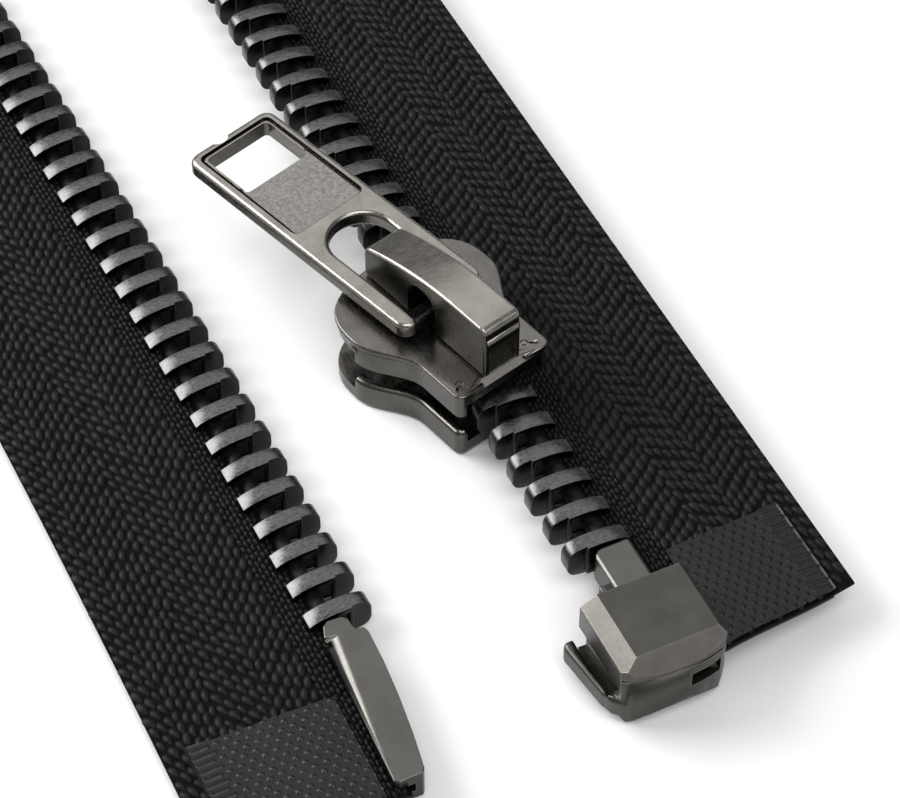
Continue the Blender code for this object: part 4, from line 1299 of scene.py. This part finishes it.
def lock_spring():
    """The spring: a leaf on the front lug, its end bent down into the pawl."""
    low_t, high_t = SPRING_LOW.y + PIVOT_T, SPRING_HIGH.y + PIVOT_T
    bottom, top = SPRING_LOW.z + PIVOT_Z, SPRING_HIGH.z + PIVOT_Z
    leaf = 0.4
    hook = [(low_t, top - leaf), (PAWL_T, top - leaf), (PAWL_T, bottom), (high_t, bottom)]
    hook += [(high_t, top - 0.5), (high_t - 0.15, top - 0.15), (high_t - 0.5, top), (low_t, top)]
    obj = prism("spring_leaf", hook, -SPRING_HALF, SPRING_HALF, across_x)
    round_edges(obj, 0.08, 2, 40.0)
    return finish_piece(obj, "lock", "spring", ["lock_spring"], SLIDER_PLACE)


# Pull tab -----------------------------------------------------------------------------------

CROSSBAR = 0.7
EYE_HALF = 2.9
EYE_END = 12.0
PANEL_START = 13.1
PANEL_DEPTH = 0.2
RAIL = 0.7
RAIL_GROOVE = 0.28
WINDOW_START = 20.1
WINDOW_MARGIN = 0.2


def pull_tab():
    """The tab: an eye round the crown, and a railed panel with a framed window."""
    half, width, far = PULL_HALF, PULL_HALF_WIDTH, PULL_LENGTH
    bevel = bpy.context.scene.zipper_metal.pull_bevel / MM
    obj = prism("pull", rounded_box(width, -half, far, 1.1, 6), -half, half)
    eye = arc((0.0, EYE_END - EYE_HALF), EYE_HALF, 0, 180, 20) + [(-EYE_HALF, -3.0), (EYE_HALF, -3.0)]
    cut(obj, prism("eye", eye, -2.0, 2.0))
    round_edges(obj, bevel, 4, 50.0)
    bar = prism("crossbar", arc((0.0, 0.0), CROSSBAR + 0.06, 0, 345, 23), -EYE_HALF - 0.6, EYE_HALF + 0.6, across_x)
    join(obj, bar)
    inner, panel_end = width - RAIL, far - RAIL
    cut(obj, prism("recess", rounded_box(inner, PANEL_START, panel_end, 0.6), half - 0.72, half + 1.0))
    edge = RAIL_GROOVE
    slab_outline = rounded_box(inner - edge, PANEL_START + 0.2, panel_end - edge, 0.45)
    slab = round_edges(prism("slab", slab_outline, -half + 0.3, half - PANEL_DEPTH), 0.06, 2)
    frame_outline = rounded_box(inner - edge, WINDOW_START, panel_end - edge, 0.45)
    window_frame = round_edges(prism("frame", frame_outline, -half + 0.3, half - 0.06), 0.1, 2)
    join(obj, slab, window_frame)
    margin = edge + WINDOW_MARGIN
    window = rounded_box(inner - margin, WINDOW_START - 0.35, panel_end - margin, 0.4)
    notch = arc((-0.9, far + 0.32), 1.0, 180, 360, 12)
    cut(obj, prism("window", window, -2.0, 2.0), prism("notch", notch, -2.0, 2.0))
    weight_normals(obj)
    panel_z = half - PANEL_DEPTH
    levels = [face.normal.z > 0.95 and abs(face.center.z - panel_z) < 0.03 for face in obj.data.polygons]
    finish_piece(obj, "pull", "pull panel", ["pull_tab"], PULL_PLACE)
    obj.data.polygons.foreach_set("material_index", [int(level) for level in levels])
    return obj


# Pins and box -------------------------------------------------------------------------------

PIN_HALF_HEIGHT = 1.5
PIN_LEAN = math.radians(-4.0)
PIN_INNER, PIN_OUTER, PIN_LENGTH, PIN_SHOULDER = 1.4, 4.7, 15.6, 1.5


def insertion_pin():
    """The free pin: a nickel sleeve crimped on the left tape, with a finger at its top."""
    side = SIDES[1]
    y = side.first_y - TOOTH_WIDTH / 2 - 0.15
    x, along = side.point(0.0, y)
    along -= PIN_OUTER * abs(math.sin(PIN_LEAN))
    turn = side.slope(y) + PIN_LEAN
    place = CHAIN @ Matrix.Translation((x, along, LEFT_CHAIN_Z)) @ Matrix.Rotation(turn, 4, "Z")
    inner, outer, end = PIN_INNER, PIN_OUTER, -PIN_LENGTH
    half = [(outer - 0.75, 0.0), (inner + 1.35, 0.0)]
    half += [(inner + 0.95, -0.35), (inner + 0.8, -PIN_SHOULDER + 0.2), (inner + 0.6, -PIN_SHOULDER)]
    half += [(inner + 0.1, -PIN_SHOULDER - 0.05), (inner - 0.1, -PIN_SHOULDER - 0.5)]
    half += [(inner - 0.2, -5.0), (inner - 0.12, -8.5), (inner + 0.12, end + 3.5)]
    half += [(inner + 0.45, end + 0.45), (inner + 0.7, end + 0.1)]
    half += [(outer - 0.75, end), (outer - 0.35, end + 0.3), (outer, -PIN_SHOULDER), (outer - 0.3, -0.4)]
    outline = [(-a, b) for a, b in half]
    obj = prism("pin_sleeve", outline, -PIN_HALF_HEIGHT, PIN_HALF_HEIGHT)
    crease = PIN_OUTER - 1.35
    reach = PIN_HALF_HEIGHT
    fall = [(-crease, reach), (-crease, reach + 1.0), (-outer - 1.0, reach + 1.0), (-outer - 1.0, reach - 0.42)]
    cut(obj, prism("crease", fall, end - 1.0, -PIN_SHOULDER, across_y))
    round_edges(obj, 0.22, 3, 14.0)
    slot = block("slot", (-outer - 1.0, end - 1.0, -0.45), (-inner - 1.3, 1.0, 0.45))
    notch = block("notch", (-outer - 1.0, -PIN_SHOULDER - 0.9, 0.9), (-outer + 0.45, -PIN_SHOULDER - 0.3, 3.0))
    cut(obj, slot, notch)
    return finish_piece(weight_normals(obj), "left_stringer", "pin", ["insertion_pin"], place)


BOX_PIN_LOW, BOX_PIN_HIGH = 1.8, 5.05


def box_pin():
    """The fixed pin, with a hooked nib towards the open side."""
    points = cad_points("box_pin")
    low_y, high_y = min(point.y for point in points), max(point.y for point in points)
    outline = [(BOX_PIN_LOW, low_y), (BOX_PIN_HIGH, low_y), (BOX_PIN_HIGH, high_y), (BOX_PIN_LOW + 0.5, high_y)]
    outline += [(BOX_PIN_LOW, high_y - 0.5)]
    obj = prism("crimped_pin", outline, -PIN_HALF_HEIGHT, PIN_HALF_HEIGHT)
    round_edges(obj, 0.38, 3, 40.0)
    flange_low, flange_high = high_y - 4.6, high_y - 2.6
    flange = [(BOX_PIN_LOW + 0.5, flange_low), (BOX_PIN_LOW + 0.5, flange_high), (BOX_PIN_LOW - 0.7, flange_high)]
    flange += [(BOX_PIN_LOW - 0.7, flange_high - 0.7), (BOX_PIN_LOW - 0.2, flange_low)]
    join(obj, round_edges(prism("side_flange", flange, -PIN_HALF_HEIGHT + 0.4, 0.35), 0.18, 3, 40.0))
    cut(obj, block("slot", (JAW_U, low_y - 1.0, -JAW_HALF), (BOX_PIN_HIGH + 1.0, high_y + 1.0, JAW_HALF)))
    return finish_piece(weight_normals(obj), "right_stringer", "pin", ["box_pin"], RIGHT_LEVEL)


BOX_LEFT, BOX_RIGHT, BOX_BACK, BOX_FRONT = -2.0, 7.0, -6.2, -14.0
BOX_HALF_HEIGHT = 3.7
BOX_CHAMFER = 1.4
BOX_WALL = 1.1
BOX_LIP = 1.5


def box_plan():
    """The box from above: a bowed front with round corners."""
    left, right, back, front = BOX_LEFT, BOX_RIGHT, BOX_BACK, BOX_FRONT
    middle, half = (left + right) / 2, (right - left) / 2
    steps = 12
    bow = [(middle + half * (2 * i / steps - 1), 0.0) for i in range(1, steps)]
    bow = [(x, front + 0.75 * abs((x - middle) / half) ** 2.6) for x, _ in bow]
    return [(left, back), (left, front + 1.1)] + bow + [(right, front + 1.1), (right, back)]


def retainer_box():
    """The socket: chamfered on top, rounded below, slit on its open side over a lip."""
    left, right, back, front = BOX_LEFT, BOX_RIGHT, BOX_BACK, BOX_FRONT
    top, chamfer, wall = BOX_HALF_HEIGHT, BOX_CHAMFER, BOX_WALL
    section = [(left + chamfer, top), (left, top - 0.6 * chamfer)]
    section += arc((left + 1.5, -top + 1.5), 1.5, 180, 270, 5) + arc((right - 2.2, -top + 2.2), 2.2, 270, 360, 7)
    section += [(right, top - 0.6 * chamfer), (right - 0.45 * chamfer, top)]
    obj = prism("socket_box", section, front - 1.0, back + 1.0, across_y)
    side_view = [(back, top), (back, -top)] + arc((front + 1.9, -top + 1.9), 1.9, 270, 180, 7)
    side_view += [(front, top - chamfer), (front + chamfer, top)]
    cross(
        obj,
        prism("plan", box_plan(), -top - 1.0, top + 1.0),
        prism("side_view", side_view, left - 1.0, right + 1.0, across_x),
    )
    round_edges(obj, bpy.context.scene.zipper_metal.box_bevel / MM, 3, 26.0)
    lip_reach = left - BOX_LIP
    lip = [(lip_reach + 0.15, back - 0.1), (left + wall, back - 0.1), (left + wall, front + 0.7)]
    lip += [(left + 0.3, front + 0.5), (left - 0.45, front + 1.3), (left - 0.85, front + 2.4), (lip_reach, back - 0.7)]
    join(obj, round_edges(prism("lip", lip, -top + 1.12, -0.65), 0.38, 4, 30.0))
    socket = PIN_HALF_HEIGHT + 0.15
    slit = 0.5
    pin_room = BOX_PIN_HIGH + 0.15
    groove_z = top - chamfer - 0.42
    hole_right = right - 0.75
    cut(
        obj,
        block("socket", (left + wall, front + wall, -socket), (pin_room, back + 1.0, socket)),
        block("slit", (left - BOX_LIP - 1.0, front + wall, -slit), (left + wall + 0.15, back + 1.0, slit)),
        block("tape_slot", (pin_room - 0.3, -13.05, -slit), (right + 1.0, back + 1.0, slit)),
        block("end_hole", (hole_right - 2.7, front - 1.0, -0.75), (hole_right, front + wall + 0.5, 0.75)),
        block("lip_slot", (left - 0.62, front + 1.9, -2.3), (left + 0.75, back + 1.0, -0.25)),
        prism("groove", groove_outline(), groove_z - 0.11, groove_z + 0.11),
    )
    return finish_piece(weight_normals(obj), "right_stringer", "box", ["retainer_box"], RIGHT_LEVEL)


def groove_outline():
    """A thin line let into the front of the box, just under its chamfer."""
    plan = [point for point in box_plan() if point[1] < BOX_FRONT + 1.2]
    inner = [(x * 0.985 + 0.04, y + 0.28) for x, y in plan]
    outer = [(x, y - 1.0) for x, y in reversed(plan)]
    return inner + outer


# Stage --------------------------------------------------------------------------------------

LOOK_AT = Vector((-0.88, 18.83, RIGHT_CHAIN_Z))
FLOOR_HALF = 1500.0
LIGHTS = (
    # name, direction from the object, distance, width, height, brightness
    ("key_left_back", (-0.58, 0.589, 0.542), 620.0, 460.0, 380.0, 7.5),
    ("high_back", (0.28, 0.5, 0.82), 640.0, 620.0, 460.0, 1.0),
    ("high_front", (-0.05, -0.42, 0.9), 640.0, 460.0, 400.0, 3.6),
    ("fill_front_right", (0.36, -0.75, 0.56), 700.0, 420.0, 260.0, 2.2),
)
WORLD_LIGHT = (0.2, 0.2, 0.205, 1.0)


def camera(stage):
    turn, rise = stage.azimuth, stage.elevation
    right = Vector((math.cos(turn), math.sin(turn), 0.0))
    back = Vector((math.sin(turn) * math.cos(rise), -math.cos(turn) * math.cos(rise), math.sin(rise)))
    up = back.cross(right)
    data = bpy.data.cameras.new("camera")
    data.lens = stage.lens
    data.sensor_width = 36.0
    data.clip_start = 0.01
    obj = bpy.data.objects.new("camera", data)
    place = CHAIN @ LOOK_AT + back * stage.distance
    obj.matrix_world = Matrix((right, up, back)).transposed().to_4x4()
    obj.matrix_world.translation = place
    bpy.context.scene.collection.objects.link(obj)
    bpy.context.scene.camera = obj


def area_light(name, direction, distance, width, height, brightness):
    data = bpy.data.lights.new(name, "AREA")
    data.shape = "RECTANGLE"
    data.size, data.size_y = width * MM, height * MM
    data.energy = brightness * math.pi * data.size * data.size_y
    obj = bpy.data.objects.new(name, data)
    out = Vector(direction).normalized()
    obj.rotation_euler = out.to_track_quat("Z", "Y").to_euler()
    obj.location = CHAIN @ LOOK_AT + out * distance * MM
    bpy.context.scene.collection.objects.link(obj)


def floor():
    shape = bmesh.new()
    bmesh.ops.create_grid(shape, x_segments=1, y_segments=1, size=FLOOR_HALF * MM)
    obj = new_object("floor", shape)
    made, nodes, inputs, coords = start_material("pale_floor", 0.0)
    tone = nodes.remap(nodes.noise(coords["Object"], 3.0, 2.0), 0.3, 0.7)
    nodes.feed(inputs["Base Color"], nodes.mix(tone, (0.86, 0.86, 0.86, 1.0), (0.88, 0.88, 0.88, 1.0)))
    inputs["Roughness"].default_value = 0.9
    obj.data.materials.append(made)


# Operators ----------------------------------------------------------------------------------


class ZIPPER_OT_stage(bpy.types.Operator):
    """Adds the floor, the lights and the camera"""

    bl_idname = "zipper.stage"
    bl_label = "Stage"

    def execute(self, context):
        stage = context.scene.zipper_stage
        floor()
        camera(stage)
        for name, direction, distance, width, height, brightness in LIGHTS:
            area_light(name, direction, distance, width, height, brightness * stage.light)
        world = bpy.data.worlds.new("studio")
        world.use_nodes = True
        ground = world.node_tree.nodes["Background"].inputs
        ground["Color"].default_value = WORLD_LIGHT
        ground["Strength"].default_value = stage.light
        context.scene.world = world
        context.scene.view_settings.view_transform = "Standard"
        return {"FINISHED"}


class ZIPPER_OT_tapes(bpy.types.Operator):
    """Weaves the two tapes and lays the embossed film on their ends"""

    bl_idname = "zipper.tapes"
    bl_label = "Tapes and Films"

    def execute(self, context):
        tree = finished_weave_tree(strip_tree())
        for side in SIDES:
            sheet, floats, stations = tape(side, tree)
            front = film(side)
            back = frame["nodes"][side.node("film_back")]
            back.data.materials.clear()
            back.data.materials.append(finish_of("film"))
            declare_tape(side, stations)
        return {"FINISHED"}


class ZIPPER_OT_cords(bpy.types.Operator):
    """Lays the cord along each tape's toothed edge"""

    bl_idname = "zipper.cords"
    bl_label = "Cords"

    def execute(self, context):
        for side in SIDES:
            cord(side)
        return {"FINISHED"}


class ZIPPER_OT_teeth(bpy.types.Operator):
    """Clamps a row of teeth and a top stop on each cord"""

    bl_idname = "zipper.teeth"
    bl_label = "Teeth and Top Stops"

    def execute(self, context):
        tree = teeth_tree(strip_tree())
        for side in SIDES:
            teeth(side, tree)
            top_stop(side)
        return {"FINISHED"}


class ZIPPER_OT_slider(bpy.types.Operator):
    """Builds the slider's body, its crown and the locking spring"""

    bl_idname = "zipper.slider"
    bl_label = "Slider"

    def execute(self, context):
        slider_body()
        slider_crown()
        lock_spring()
        return {"FINISHED"}


class ZIPPER_OT_pull(bpy.types.Operator):
    """Builds the pull tab"""

    bl_idname = "zipper.pull"
    bl_label = "Pull Tab"

    def execute(self, context):
        pull_tab()
        return {"FINISHED"}


class ZIPPER_OT_end(bpy.types.Operator):
    """Builds the insertion pin, the box pin and the retainer box"""

    bl_idname = "zipper.end"
    bl_label = "Pins and Box"

    def execute(self, context):
        insertion_pin()
        box_pin()
        retainer_box()
        return {"FINISHED"}


class ZIPPER_PT_panel(bpy.types.Panel):
    bl_label = "Metal Zipper"
    bl_idname = "ZIPPER_PT_panel"
    bl_space_type = "VIEW_3D"
    bl_region_type = "UI"
    bl_category = "Zipper"

    def draw(self, context):
        column = self.layout.column()
        for operator in OPERATORS:
            column.operator(operator.bl_idname)
        for name, group_class in SETTINGS.items():
            settings = getattr(context.scene, name)
            for key in group_class.__annotations__:
                column.prop(settings, key)


OPERATORS = (
    ZIPPER_OT_stage,
    ZIPPER_OT_tapes,
    ZIPPER_OT_cords,
    ZIPPER_OT_teeth,
    ZIPPER_OT_slider,
    ZIPPER_OT_pull,
    ZIPPER_OT_end,
)
CLASSES = (*SETTINGS.values(), *OPERATORS, ZIPPER_PT_panel)


def register():
    for item in CLASSES:
        bpy.utils.register_class(item)
    for name, group_class in SETTINGS.items():
        setattr(bpy.types.Scene, name, bpy.props.PointerProperty(type=group_class))


def unregister():
    for name in SETTINGS:
        delattr(bpy.types.Scene, name)
    for item in reversed(CLASSES):
        bpy.utils.unregister_class(item)


def main():
    register()
    for operator in OPERATORS:
        family, action = operator.bl_idname.split(".")
        getattr(getattr(bpy.ops, family), action)()


if __name__ == "__main__":
    main()
